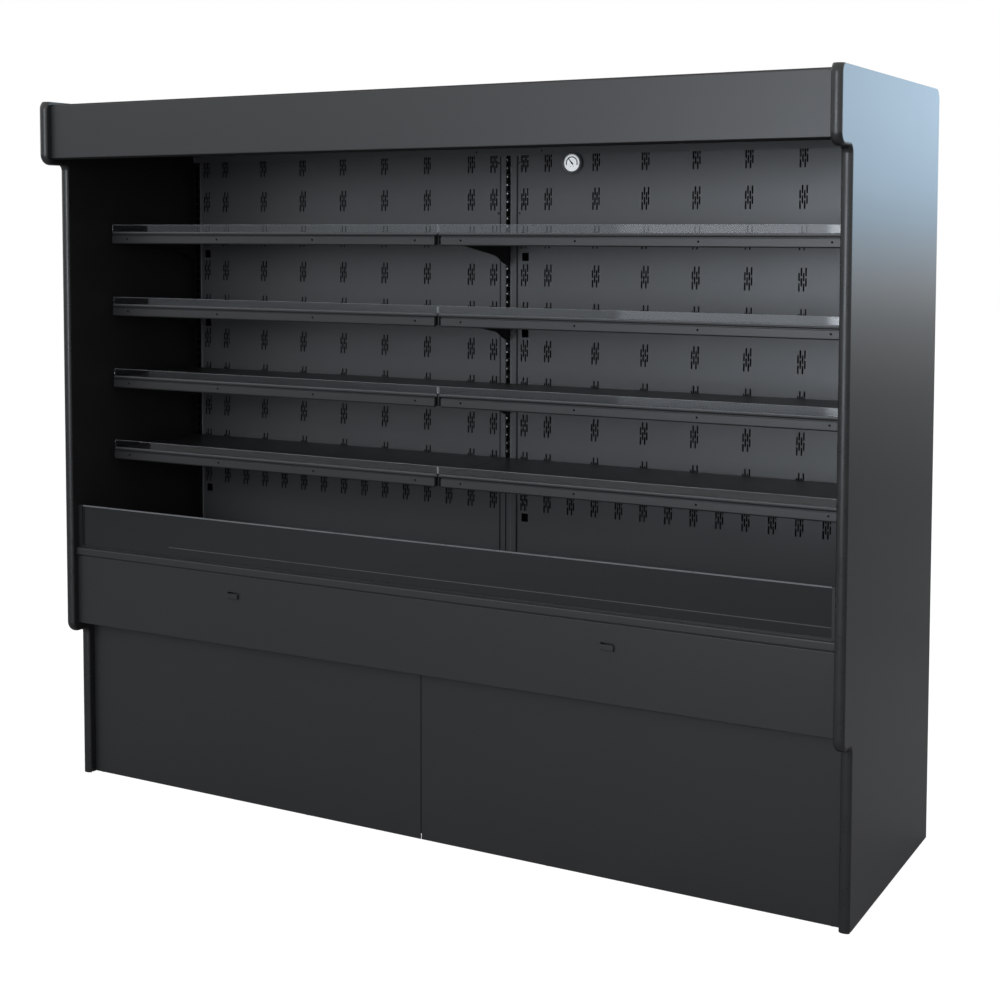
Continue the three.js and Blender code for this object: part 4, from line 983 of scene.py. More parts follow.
@dataclass
class EndPanels(SubAssembly):
    """The two stepped end panels and the domed trim that runs up their front edges."""

    thickness: float = 28.0
    floor_gap: float = 2.0
    height: float = 2089.0
    canopy_reach: float = 904.0
    body_reach: float = 813.5
    kick_reach: float = 745.5
    canopy_bottom: float = 1909.0
    body_bottom: float = 471.0
    step_radius: float = 24.0
    top_radius: float = 22.0
    rear_radius: float = 30.0
    foot_radius: float = 8.0
    dome: float = 9.0
    trim_gap: float = 0.3
    liner_reaches: Flat = (62.0, 812.0)
    liner_heights: Flat = (486.0, 2010.0)
    dome_facets: int = 14
    turn_facets: int = 10

    def build(self) -> None:
        """Models the right panel and trim, and mirrors them for the left."""
        panel = self._panel()
        trim = self._trim()
        for side in Side:
            made = panel if side is Side.RIGHT else Bench.mirrored(panel, "side_panel_left")
            self.hand_over(made, Palette.side, f"end_panel_{side.label}")
            edge = trim if side is Side.RIGHT else Bench.mirrored(trim, "bullnose_left")
            self.hand_over(edge, Palette.trim, f"edge_trim_{side.label}")
            liner = Bench.bar(f"end_liner_{side.label}", side.span(FIT + 0.05, HALF_INSIDE - 0.02),
                              self.liner_reaches, self.liner_heights, 0.05, 1)
            self.hand_over(liner, Palette.liner)

    def _panel(self) -> Piece:
        """The right panel: its stepped outline, pushed out and its arrises broken."""
        x = HALF_INSIDE
        corners = [
            (0.0, self.floor_gap, 0.0),
            (self.kick_reach, self.floor_gap, self.foot_radius),
            (self.kick_reach, self.body_bottom, self.step_radius),
            (self.body_reach, self.body_bottom, self.step_radius),
            (self.body_reach, self.canopy_bottom, self.step_radius),
            (self.canopy_reach, self.canopy_bottom, self.step_radius),
            (self.canopy_reach, self.height, self.top_radius),
            (0.0, self.height, self.rear_radius),
        ]
        panel = Bench.prism(
            "side_panel_right",
            [at(x, reach, z) for reach, z, _ in corners],
            Vector((self.thickness * MM, 0, 0)),
            [(at(x, reach, z), r * MM) for reach, z, r in corners if r > 0],
            self.turn_facets,
        )
        return Bench.soften(panel, 0.7, 2, 50)

    def _section(self, foot: Vector) -> list[Vector]:
        """The trim's section at its foot: half an ellipse over a flat back."""
        half = self.thickness / 2
        high = self.dome - self.trim_gap
        turns = [math.pi * index / self.dome_facets for index in range(self.dome_facets + 1)]
        return [
            foot + Vector((-half * math.cos(a), -self.trim_gap - high * math.sin(a), 0)) * MM
            for a in turns
        ]

    def _trim(self) -> Piece:
        """The right trim: its section drawn at the foot, extruded up and spun round each step."""
        middle = HALF_INSIDE + self.thickness / 2
        foot = at(middle, self.kick_reach, self.floor_gap)
        trim = Bench.draw("bullnose_right", self._section(foot))
        bend, top = self.step_radius, self.top_radius
        quarter = math.pi / 2
        # Each run: radius, turn, and the reach and height of the middle of the bend at its end.
        runs = (
            (bend, quarter, self.kick_reach + bend, self.body_bottom - bend),
            (bend, -quarter, self.body_reach - bend, self.body_bottom + bend),
            (bend, quarter, self.body_reach + bend, self.canopy_bottom - bend),
            (bend, -quarter, self.canopy_reach - bend, self.canopy_bottom + bend),
            (top, -quarter, self.canopy_reach - top, self.height - top),
        )
        here = [self.kick_reach, self.floor_gap]
        for index, (radius, turn, hub_reach, hub_z) in enumerate(runs):
            level = index % 2 == 1
            if level:
                push = Vector((0, here[0] - hub_reach, 0)) * MM
            else:
                push = Vector((0, 0, hub_z - here[1])) * MM
            bpy.ops.mesh.extrude_region_move(TRANSFORM_OT_translate={"value": push})
            bpy.ops.mesh.spin(
                steps=self.turn_facets, dupli=False, angle=-turn,
                center=at(middle, hub_reach, hub_z), axis=(1, 0, 0),
            )
            here = [hub_reach + radius, hub_z] if level else [hub_reach, hub_z + radius]
            self._pick_ring(trim, at(middle, *here), 2 if level else 1)
        bpy.ops.mesh.select_all(action="SELECT")
        bpy.ops.mesh.remove_doubles(threshold=MERGE)
        bpy.ops.mesh.normals_make_consistent(inside=False)
        bpy.ops.mesh.select_all(action="SELECT")
        bpy.ops.mesh.bisect(
            plane_co=at(middle, 0, self.height), plane_no=(0, 0, 1), clear_outer=True,
            use_fill=True, threshold=MERGE,
        )
        bpy.ops.object.mode_set(mode="OBJECT")
        Bench.settle(trim, "bullnose_right")
        self._close(trim)
        return Bench.smooth(Bench.face_out(trim), 40)

    def _pick_ring(self, trim: Piece, place: Vector, flat: int) -> None:
        """Selects the section that stands at a place.

        Args:
            trim: the unfinished trim.
            place: the middle of the section's back, in metres.
            flat: the axis that the section is square to.
        """
        size = self.thickness * MM
        Bench.select_where(
            trim, "VERT", lambda p: abs(p[flat] - place[flat]) < MERGE and (p - place).length < size
        )
        bpy.ops.mesh.select_mode(type="EDGE")

    @staticmethod
    def _close(trim: Piece) -> None:
        """Fills the holes left at the trim's ends."""
        Bench.pick(trim)
        bpy.ops.object.mode_set(mode="EDIT")
        bpy.ops.mesh.select_all(action="DESELECT")
        bpy.ops.mesh.select_mode(type="EDGE")
        bpy.ops.mesh.select_non_manifold(
            extend=False, use_wire=False, use_boundary=True, use_multi_face=False,
            use_non_contiguous=False, use_verts=False,
        )
        bpy.ops.mesh.edge_face_add()
        bpy.ops.object.mode_set(mode="OBJECT")


@dataclass
class Shell(SubAssembly):
    """The foamed tub and the roof, which keep their CAD shapes, the roof's seams, the back."""

    roof_top: float = 2075.7
    seam_reaches: Flat = (20.0, 832.0)
    seam_height: float = 6.0
    seam_width: float = 16.0
    wall_depth: float = 60.0
    wall_heights: Flat = (484.0, 2012.4)
    joints: tuple[float, ...] = (-595.0, 0.0, 595.0)
    joint_width: float = 3.0
    joint_depth: float = 2.4
    screw_radius: float = 3.0
    screw_inset: float = 18.0
    screw_heights: tuple[float, ...] = (520.0, 765.0, 1010.0, 1255.0, 1500.0, 1745.0, 1990.0)

    def build(self) -> None:
        """Dresses the foamed shell, lays the roof's standing seams and skins the back."""
        self.dress(Palette.inner, "insulated_tub")
        self.dress(Palette.zinc, "canopy_roof")
        self._back_skin()
        seam = Bench.bar(
            "roof_seams", (-self.seam_width / 2, self.seam_width / 2), self.seam_reaches,
            (self.roof_top, self.roof_top + self.seam_height), 2.0, 3,
        )
        sides = [Bench.copy(seam, "seam", Vector((x * MM, 0, 0))) for x in self.joints[::-2]]
        self.hand_over(Bench.join("roof_seams", [seam, *sides]), Palette.zinc)

    def _back_skin(self) -> None:
        """The back wall's sheets with sunk joints between them, held by sunk screws."""
        low, high = self.wall_heights
        half, deep = self.joint_width / 2, self.joint_depth
        skin = Bench.slab("back_skin", (-FIT, FIT), (0.0, self.wall_depth), (low, high))
        cutters = [
            Bench.slab("joint", (x - half, x + half), (-1.0, deep), (low - 1, high + 1))
            for x in self.joints
        ]
        columns = [x + side.sign * self.screw_inset for x in self.joints for side in Side]
        columns += [side.sign * (FIT - self.screw_inset) for side in Side]
        for x in columns:
            for z in self.screw_heights:
                cutters.append(Bench.round_bar("seat", at(x, deep / 2 - 0.5, z), Axis.Y,
                                               self.screw_radius * 1.3 * MM, (deep + 1) * MM, 16))
        Bench.cut(skin, Bench.join("cutters", cutters))
        self.hand_over(Bench.smooth(Bench.face_out(skin), 25), Palette.zinc, "back_wall")
        heads = rear_heads(deep, self.screw_radius, [(x, z) for x in columns
                                                     for z in self.screw_heights])
        self.hand_over(Bench.join("back_screws", heads), Palette.screw)


@dataclass
class BackWall(SubAssembly):
    """The perforated air panels and the slotted uprights between them."""

    bay_centre: float = 595.5
    bay_half: float = 566.7
    group_centre: float = 596.0
    face: float = 203.5
    sheet: float = 2.0
    bottom: float = 668.0
    top: float = 1964.0
    header_bottom: float = 1928.0
    slot_width: float = 4.6
    slot_length: float = 24.0
    slot_period: float = 28.5
    column_pitch: float = 6.5
    group_pitch: float = 77.6
    row_pitch: float = 113.33
    lowest_row: float = 969.7
    dense_row: float = 857.0
    rows: int = 9
    hole: tuple[float, float] = (22.0, 24.5)
    hole_heights: tuple[float, ...] = (837.0, 1395.0, 1624.5)
    hole_inset: float = 27.0
    upright_face: float = 205.5
    slot_pitch: float = 25.13
    lowest_slot: float = 924.2
    slots: int = 40

    def build(self) -> None:
        """Models both air panels, the slot bars of the uprights and the screws."""
        right = self._air_panel()
        left = Bench.copy(right, "air_panel_left", Vector((-2 * self.bay_centre * MM, 0, 0)))
        self.hand_over(right, Palette.inner, "back_panel_right")
        self.hand_over(left, Palette.inner, "back_panel_left")
        for side in Side:
            duct = Bench.bar(f"duct_liner_{side.label}", side.span(29.0, 1162.0), (60.6, 62.0),
                             (self.bottom, self.top), 0.4, 1)
            self.hand_over(duct, Palette.duct)
        self.dress(Palette.inner, "upright_center")
        self.dress(Palette.duct, "upright_left", "upright_right")
        self._slot_bars()
        self._edge_lines()
        self._screws()

    def _obround(self, name: str) -> Piece:
        """One cutter with round ends, standing at the origin's height, across the sheet."""
        half = self.slot_width / 2
        corners = [(-half, 0.0), (half, 0.0), (half, self.slot_length), (-half, self.slot_length)]
        points = [at(x, self.face + 3, z) for x, z in corners]
        return Bench.prism(
            name, points, Vector((0, 8 * MM, 0)), [(p, half * 0.98 * MM) for p in points], 3
        )

    def _group(self) -> Piece:
        """Eight cutters in four staggered columns."""
        first = self._obround("cutter")
        first.data.transform(Matrix.Translation((-1.5 * self.column_pitch * MM, 0, 0)))
        slots = [first]
        for index in range(4):
            low = self.slot_period / 2 if index % 2 else 0.0
            for z in (low, low + self.slot_period):
                if index or z:
                    shift = Vector((index * self.column_pitch * MM, 0, z * MM))
                    slots.append(Bench.copy(first, "cutter", shift))
        return Bench.join("group", slots)

    def _air_panel(self) -> Piece:
        """The perforated panel of the right bay."""
        centre = self.bay_centre
        panel = Bench.slab(
            "air_panel_right", (centre - self.bay_half, centre + self.bay_half),
            (self.face - self.sheet, self.face), (self.bottom, self.top),
        )
        group = self._group()
        cutters = []
        for column in range(-7, 8):
            x = self.group_centre + column * self.group_pitch
            cutters.append(Bench.copy(group, "cut", Vector((x, 0, self.dense_row)) * MM))
            if column % 2 and abs(column) != 7:
                continue
            for row in range(self.rows):
                z = self.lowest_row + row * self.row_pitch
                if z + self.slot_period * 2 > self.top - 8:
                    continue
                cutters.append(Bench.copy(group, "cut", Vector((x, 0, z)) * MM))
        bpy.data.objects.remove(group)
        width, height = self.hole
        x = centre - self.bay_half + self.hole_inset - 0.3
        for z in self.hole_heights:
            cutters.append(Bench.slab(
                "cut", (x - width / 2, x + width / 2), (self.face - 5, self.face + 3),
                (z - height / 2, z + height / 2),
            ))
        Bench.cut(panel, Bench.join("cutters", cutters))
        return Bench.smooth(Bench.face_out(panel), 25)

    def _slot_bars(self) -> None:
        """The dark bars between the slots of the middle upright with a painted glint on each, and
        the channel's walls: the left dark as painted shade, the right pale as painted light.
        """
        face = self.upright_face
        gap_top = self.lowest_slot + 8.5
        # Each bar carries a small bright strip, a painted glint.
        for name, xs, depth, zs, finish in (
            ("slot_bars", (-6.0, 6.0), 0.3, (0.3, self.slot_pitch - 17.3), Palette.duct),
            ("slot_hook_edges", (-6.4, -3.4), 0.5, (0.2, 4.6), Palette.bright),
        ):
            bar = Bench.slab(name, xs, (face, face + depth), (gap_top + zs[0], gap_top + zs[1]))
            Bench.repeat(bar, self.slots, Vector((0, 0, self.slot_pitch * MM)))
            self.hand_over(Bench.face_out(bar), finish)
        low, high = self.bottom + 3, self.header_bottom - 2
        last = gap_top + self.slots * self.slot_pitch - 17.2
        # The channel's dark left wall is painted shade and its pale right wall is painted light.
        for name, xs, depth, zs, finish in (
            ("top_slot", (-6.0, 6.0), 0.3, (last, self.header_bottom - 0.5), Palette.duct),
            ("channel_shaded_wall", (-9.4, -6.2), 0.4, (low, high), Palette.duct),
            ("channel_lit_wall", (7.2, 9.2), 0.5, (low, high), Palette.edge_grey),
        ):
            self.hand_over(Bench.slab(name, xs, (face, face + depth), zs), finish)

    def _edge_lines(self) -> None:
        """The folded edges of the uprights: dark seams beside the middle one, and pale lines at the
        sides painted as highlights.
        """
        face = self.upright_face
        # The pale side lines are painted highlights on the folded edges.
        for name, x, half, depth, finish in (
            ("upright_seams", 28.0, 2.2, 0.3, Palette.black),
            ("upright_edges", 1162.0, 2.4, 0.7, Palette.edge_grey),
        ):
            lines = [
                Bench.slab("line", (side.sign * x - half, side.sign * x + half),
                           (face - 2.0, face + depth), (self.bottom + 3, self.header_bottom - 2))
                for side in Side
            ]
            self.hand_over(Bench.join(name, lines), finish)

    def _screws(self) -> None:
        """Pan head screws that hold the panels and the header."""
        spots = [(x, self.face, z) for x in (-35.7, 35.7) for z in (1906.0, 1755.0)]
        spots += [(x, self.upright_face + 1.8, 1940.0) for x in (-110.0, 110.0)]
        heads = [pan_head(at(x, reach, z), 3.0) for x, reach, z in spots]
        self.hand_over(Bench.join("panel_screws", heads), Palette.black)


def pan_head(place: Vector, radius: float) -> Piece:
    """A cross recessed pan head that faces the front.

    Args:
        place: the middle of its seat, in metres.
        radius: in millimetres.

    Returns:
        The screw's head.
    """
    head = Bench.turned(
        "screw", place,
        [(0.0, 0.0), (radius, 0.0), (radius, radius * 0.25), (radius * 0.8, radius * 0.55),
         (radius * 0.35, radius * 0.66), (0.0, radius * 0.68)],
        14,
    )
    arm = radius * 0.55 * MM
    deep = radius * MM
    for wide, tall in ((arm, radius * 0.12 * MM), (radius * 0.12 * MM, arm)):
        low = place + Vector((-wide, -deep, -tall))
        high = place + Vector((wide, -radius * 0.4 * MM, tall))
        Bench.cut(head, Bench.block("recess", low, high))
    return Bench.smooth(head, 40)


def rear_heads(reach: float, radius: float, places: Iterable[Flat]) -> list[Piece]:
    """Cross recessed pan heads that face the rear.

    Args:
        reach: of their seats.
        radius: in millimetres.
        places: the x and height of each.

    Returns:
        The heads.
    """
    model = pan_head(Vector((0, 0, 0)), radius)
    model.data.transform(Matrix.Translation(at(0, reach, 0)) @ Matrix.Rotation(math.pi, 4, "Z"))
    heads = [Bench.copy(model, "screw", Vector((x, 0, z)) * MM) for x, z in places]
    bpy.data.objects.remove(model)
    return heads


# ------------------------------------------------------------------ shelves


@dataclass
class Shelves(SubAssembly):
    """Eight shelves on bracket arms, each with a folded ticket front and a clear riser."""

    levels: tuple[float, ...] = (1016.59, 1242.76, 1468.93, 1695.10)
    rear: float = 210.5
    reach: float = 634.7
    outer: float = 1179.0
    middle_gap: float = 1.5
    strip_setback: float = 9.0
    lip: float = 3.0
    groove: float = 6.0
    groove_depth: float = 4.0
    strip_bottom: float = 30.0
    strip_sheet: float = 1.2
    plug_width: float = 6.4
    hole_radius: float = 2.2
    hole_drop: float = 18.0
    hole_places: tuple[float, ...] = (-522.0, -174.0, 174.0, 522.0)
    bay_centre: float = 595.5
    riser_height: float = 25.5
    riser_thickness: float = 3.0
    riser_setback: float = 3.0
    riser_gap: float = 0.3
    upright_face: float = 205.8
    arm_thickness: float = 3.0
    side_slot: float = 1177.0
    tab_drops: tuple[float, ...] = (17.0, 92.39)
    tab: tuple[float, float] = (8.0, 9.0)
    arm_line: tuple[Flat, ...] = (
        (0.0, -95.0), (28.0, -90.0), (66.0, -68.0), (222.0, -43.0), (330.0, -26.0),
        (330.0, -2.0), (5.0, -2.0), (0.0, -17.0),
    )

    def build(self) -> None:
        """Models the lowest right shelf once and copies it to every place."""
        models = (
            (self._deck(), "shelf_deck", Palette.shelf, "shelf_"),
            (self._strip(), "ticket_strip", Palette.strip, ""),
            (self._arms(), "shelf_arms", Palette.bracket, ""),
            (self._riser(), "shelf_riser_clear", Palette.riser, "shelf_riser_"),
            (self._edges(), "riser_edges", Palette.riser_edge, ""),
            (self._foot(), "riser_foot", Palette.foot, ""),
            (self._seals(), "strip_seals", Palette.seal, ""),
            (self._strip_screws(), "strip_screws", Palette.duct, ""),
        )
        for side in Side:
            for level, z in enumerate(self.levels, start=1):
                name = f"{level}_{side.label}"
                for model, label, finish, node in models:
                    lift = Vector((0, 0, (z - self.levels[0]) * MM))
                    twin = Bench.copy(model, f"{label}_{name}", lift)
                    if side is Side.LEFT:
                        Bench.flip(twin)
                    # The lowest risers take the dimmed copy: painted shade on their reflection.
                    if level == 1 and finish is Palette.riser:
                        finish = Palette.low_riser
                    stands_for = [node + name] if node else []
                    self.hand_over(twin, finish, *stands_for, body=f"shelf_unit_{name}")
        for model, *_ in models:
            bpy.data.objects.remove(model)

    def _deck(self) -> Piece:
        """The deck: a sheet folded down at the rear and over the ticket strip at the front."""
        z = self.levels[0]
        deck = Bench.sheet(
            "deck",
            [(self.rear, z - 14.0), (self.rear, z), (self.reach, z), (self.reach, z - self.lip)],
            (self.middle_gap, self.outer), 1.2, 1.2,
        )
        return Bench.smooth(deck, 40)

    def _strip(self) -> Piece:
        """The ticket strip: a groove under the lip, then a drilled front face with a return."""
        z = self.levels[0]
        groove = self.reach - self.groove_depth
        low = z - self.lip - self.groove
        strip = Bench.sheet(
            "strip",
            [
                (self.reach, z - self.lip), (groove, z - self.lip), (groove, low),
                (self.reach, low), (self.reach, z - self.strip_bottom),
                (self.reach - 9.0, z - self.strip_bottom),
            ],
            (self.middle_gap + self.strip_setback, self.outer), self.strip_sheet, 0.9,
        )
        drills = [
            Bench.round_bar(
                "drill", at(self.bay_centre + x, self.reach, z - self.hole_drop), Axis.Y,
                self.hole_radius * MM, 12 * MM, 16,
            )
            for x in self.hole_places
        ]
        Bench.cut(strip, Bench.join("drills", drills), folded=True)
        return Bench.smooth(Bench.face_out(strip), 40)

    def _arms(self) -> Piece:
        """The two bracket arms with their hooks."""
        z = self.levels[0]
        face = self.upright_face
        arms = []
        for x in (self.middle_gap, self.side_slot - self.arm_thickness / 2):
            arm = Bench.prism(
                "arm", [at(x, face + r, z + h) for r, h in self.arm_line],
                Vector((self.arm_thickness * MM, 0, 0)),
                [(at(x, face + 28.0, z - 90.0), 12 * MM), (at(x, face + 66.0, z - 68.0), 20 * MM),
                 (at(x, face + 330.0, z - 26.0), 6 * MM)],
            )
            Bench.soften(arm, 0.5, 2, 50)
            hooks = [
                Bench.bar("hook", (x + 0.1, x + self.arm_thickness - 0.1),
                          (face - self.tab[0], face + 2),
                          (z - drop - self.tab[1] / 2, z - drop + self.tab[1] / 2), 0.6, 2, 50)
                for drop in self.tab_drops
            ]
            arms += [arm, *hooks]
        return Bench.join("arms", arms)

    def _riser(self) -> Piece:
        """The clear upstand behind the shelf's front edge."""
        z = self.levels[0] + self.riser_gap
        front = self.reach - self.riser_setback
        return Bench.bar("riser", (self.middle_gap, self.outer),
                         (front - self.riser_thickness, front), (z, z + self.riser_height),
                         0.5, 2, 50)

    def _edges(self) -> Piece:
        """Pale strips on the riser's top edge and inner end edge: painted highlights where the
        clear edges catch the light.
        """
        z = self.levels[0] + self.riser_gap
        top = z + self.riser_height
        front = self.reach - self.riser_setback
        spans = (front - self.riser_thickness + 0.4, front - 0.4)
        rim = Bench.bar("edges", (self.middle_gap + 1, self.outer - 1), spans,
                        (top - 0.5, top + 0.15), 0.15, 1, 50)
        end = Bench.bar("end", (self.middle_gap + 0.1, self.middle_gap + 1.7),
                        (front - 0.3, front + 0.18), (z + 5.0, top - 0.6), 0.1, 1, 50)
        return Bench.join("edges", [rim, end])

    def _foot(self) -> Piece:
        """The thin foot profile that holds the riser on the deck."""
        z = self.levels[0]
        front = self.reach - self.riser_setback
        return Bench.bar("foot", (self.middle_gap + 3, self.outer - 3), (front + 0.2, front + 1.6),
                         (z + 0.1, z + 4.4), 0.4, 2, 50)

    def _seals(self) -> Piece:
        """Dark strips of painted shade: in the groove under the deck's lip and under the strip's
        bottom return.
        """
        z = self.levels[0]
        spans = (self.middle_gap + self.strip_setback, self.outer)
        low = z - self.strip_bottom
        return Bench.join("seals", [
            Bench.bar("seal", spans, reaches, heights, 0.3, 1, 50)
            for reaches, heights in (
                ((self.reach - self.groove_depth + 0.3, self.reach + 0.2), (z - 6.3, z - 3.3)),
                ((self.reach - 9.0, self.reach - 0.2), (low - 2.6, low + 0.1)),
            )
        ])

    def _strip_screws(self) -> Piece:
        """The screws through the ticket strip and the dark plug in its inner end."""
        z = self.levels[0]
        heads = [pan_head(at(self.bay_centre + x, self.reach, z - self.hole_drop), 2.9)
                 for x in self.hole_places]
        end = self.middle_gap + self.strip_setback
        plug = Bench.bar("plug", (end - self.plug_width, end - 0.2),
                         (self.reach - 8.5, self.reach - 0.6),
                         (z - self.strip_bottom + 0.4, z - 2.2), 0.5, 2, 50)
        return Bench.join("strip_screws", [*heads, plug])


# ------------------------------------------------------------------ canopy


@dataclass
class Canopy(SubAssembly):
    """The head of the cabinet: fascia, ceiling, air comb, light and header strip."""

    fascia_reach: float = 888.5
    fascia_bottom: float = 1920.6
    fascia_top: float = 2077.5
    fascia_return: float = 22.0
    ceiling_front: float = 798.5
    comb_seat: float = 1949.0
    comb_depth: float = 66.0
    comb_height: float = 14.0
    cell: float = 11.0
    wall: float = 0.7
    light_front: float = 866.2
    light_top: float = 1947.2
    light_size: float = 14.0
    light_half: float = 1100.7
    light_cap: float = 18.0
    sheet: float = 1.5

    def build(self) -> None:
        """Models the fascia, a dark strip of painted shade under its bottom return, the ceiling,
        the comb and the light.
        """
        inner = self.fascia_reach - self.fascia_return
        fascia = Bench.sheet(
            "fascia",
            [
                (inner, self.fascia_top), (self.fascia_reach, self.fascia_top),
                (self.fascia_reach, self.fascia_bottom), (inner, self.fascia_bottom),
                (inner, self.comb_seat - self.sheet), (inner - 8.0, self.comb_seat - self.sheet),
            ],
            (-FIT, FIT), self.sheet, 2.0, 4,
        )
        self.hand_over(Bench.smooth(fascia), Palette.fascia, "canopy_fascia")
        # Painted shade: a near black strip where the fascia's bottom return shades its underside.
        shade_strip = Bench.bar("fascia_shade_strip", (-FIT, FIT), (inner + 3, self.fascia_reach - 0.8),
                         (self.fascia_bottom - 4.8, self.fascia_bottom - 0.1), 0.5)
        self.hand_over(shade_strip, Palette.duct)
        gasket = Bench.bar("fascia_top_gasket", (-FIT, FIT), (inner + 2, self.fascia_reach - 3.0),
                           (self.fascia_top + 0.1, self.fascia_top + 3.2), 1.0)
        self.hand_over(gasket, Palette.dark_plastic)
        self.dress(Palette.ceiling, "canopy_ceiling")
        # The header strip's lighter grey is painted light.
        self.dress(Palette.header, "header_strip")
        self._comb()
        self._light()

    def _comb(self) -> None:
        """The air comb: thin six sided cells in staggered rows inside a thin frame."""
        radius = self.cell / 2
        depth = radius * math.sqrt(3)
        low = self.comb_seat + 0.4
        rear, front = self.ceiling_front, self.ceiling_front + self.comb_depth
        start = at(-FIT + 8.0, rear + 5.0, low + self.comb_height / 2)
        Bench.clear()
        bpy.ops.mesh.primitive_cylinder_add(
            vertices=6, radius=radius * MM, depth=self.comb_height * MM, end_fill_type="NOTHING",
            location=start, rotation=(0, 0, math.pi / 6),
        )
        cell = Bench.settle(bpy.context.object, "air_comb")
        pitch = self.cell * math.cos(math.pi / 6)
        twin = Bench.copy(cell, "cell", Vector((pitch / 2, -radius * 1.5, 0)) * MM)
        cell = Bench.join("air_comb", [cell, twin])
        Bench.repeat(cell, int((self.comb_depth - 10.0) / (3 * radius)) + 1,
                     Vector((0, -3 * radius * MM, 0)))
        Bench.repeat(cell, int((2 * FIT - 16.0) / pitch) - 1, Vector((pitch * MM, 0, 0)))
        Bench.pick(cell)
        bpy.ops.object.mode_set(mode="EDIT")
        bpy.ops.mesh.select_all(action="SELECT")
        bpy.ops.mesh.remove_doubles(threshold=2e-5)
        for place, keep in ((front - 2.0, 1), (rear + 2.0, -1)):
            bpy.ops.mesh.select_all(action="SELECT")
            bpy.ops.mesh.bisect(plane_co=at(0, place, low), plane_no=(0, -keep, 0),
                                clear_outer=True)
        bpy.ops.object.mode_set(mode="OBJECT")
        wall = cell.modifiers.new("Wall", "SOLIDIFY")
        wall.thickness = self.wall * MM
        wall.offset = 0.0
        Bench.apply(cell)
        rim = [
            Bench.slab("rim", (-FIT + 0.3, FIT - 0.3), span, (low, low + self.comb_height))
            for span in ((rear, rear + 2.2), (front - 2.2, front))
        ]
        self.hand_over(Bench.join("air_comb", [cell, *rim]), Palette.dark_plastic,
                       "air_honeycomb")

    def _light(self) -> None:
        """The switched off light: a milky bar in a channel with end caps."""
        low, high = self.light_top - self.light_size, self.light_top
        rear, front = self.light_front - self.light_size, self.light_front
        half, cap = self.light_half, self.light_cap
        tube = Bench.prism(
            "canopy_light_bar",
            [at(-half + cap, r, z) for r, z in (
                (rear, high - 3), (rear, low + 4), (rear + 4, low), (front - 4, low),
                (front - 1, low + 4), (front - 1, high - 3))],
            Vector(((2 * half - 2 * cap) * MM, 0, 0)),
        )
        self.hand_over(Bench.soften(tube, 1.0, 3), Palette.diffuser, "canopy_light")
        channel = Bench.slab("light_channel", (-half, half), (rear + 1, front), (high - 3, high))
        caps = [
            Bench.bar("cap", xs, (rear, front), (low, high), 1.2, 3)
            for xs in ((-half, -half + cap), (half - cap, half))
        ]
        self.hand_over(Bench.join("light_channel", [channel, *caps]), Palette.grey_plastic)


# ------------------------------------------------------------------ front


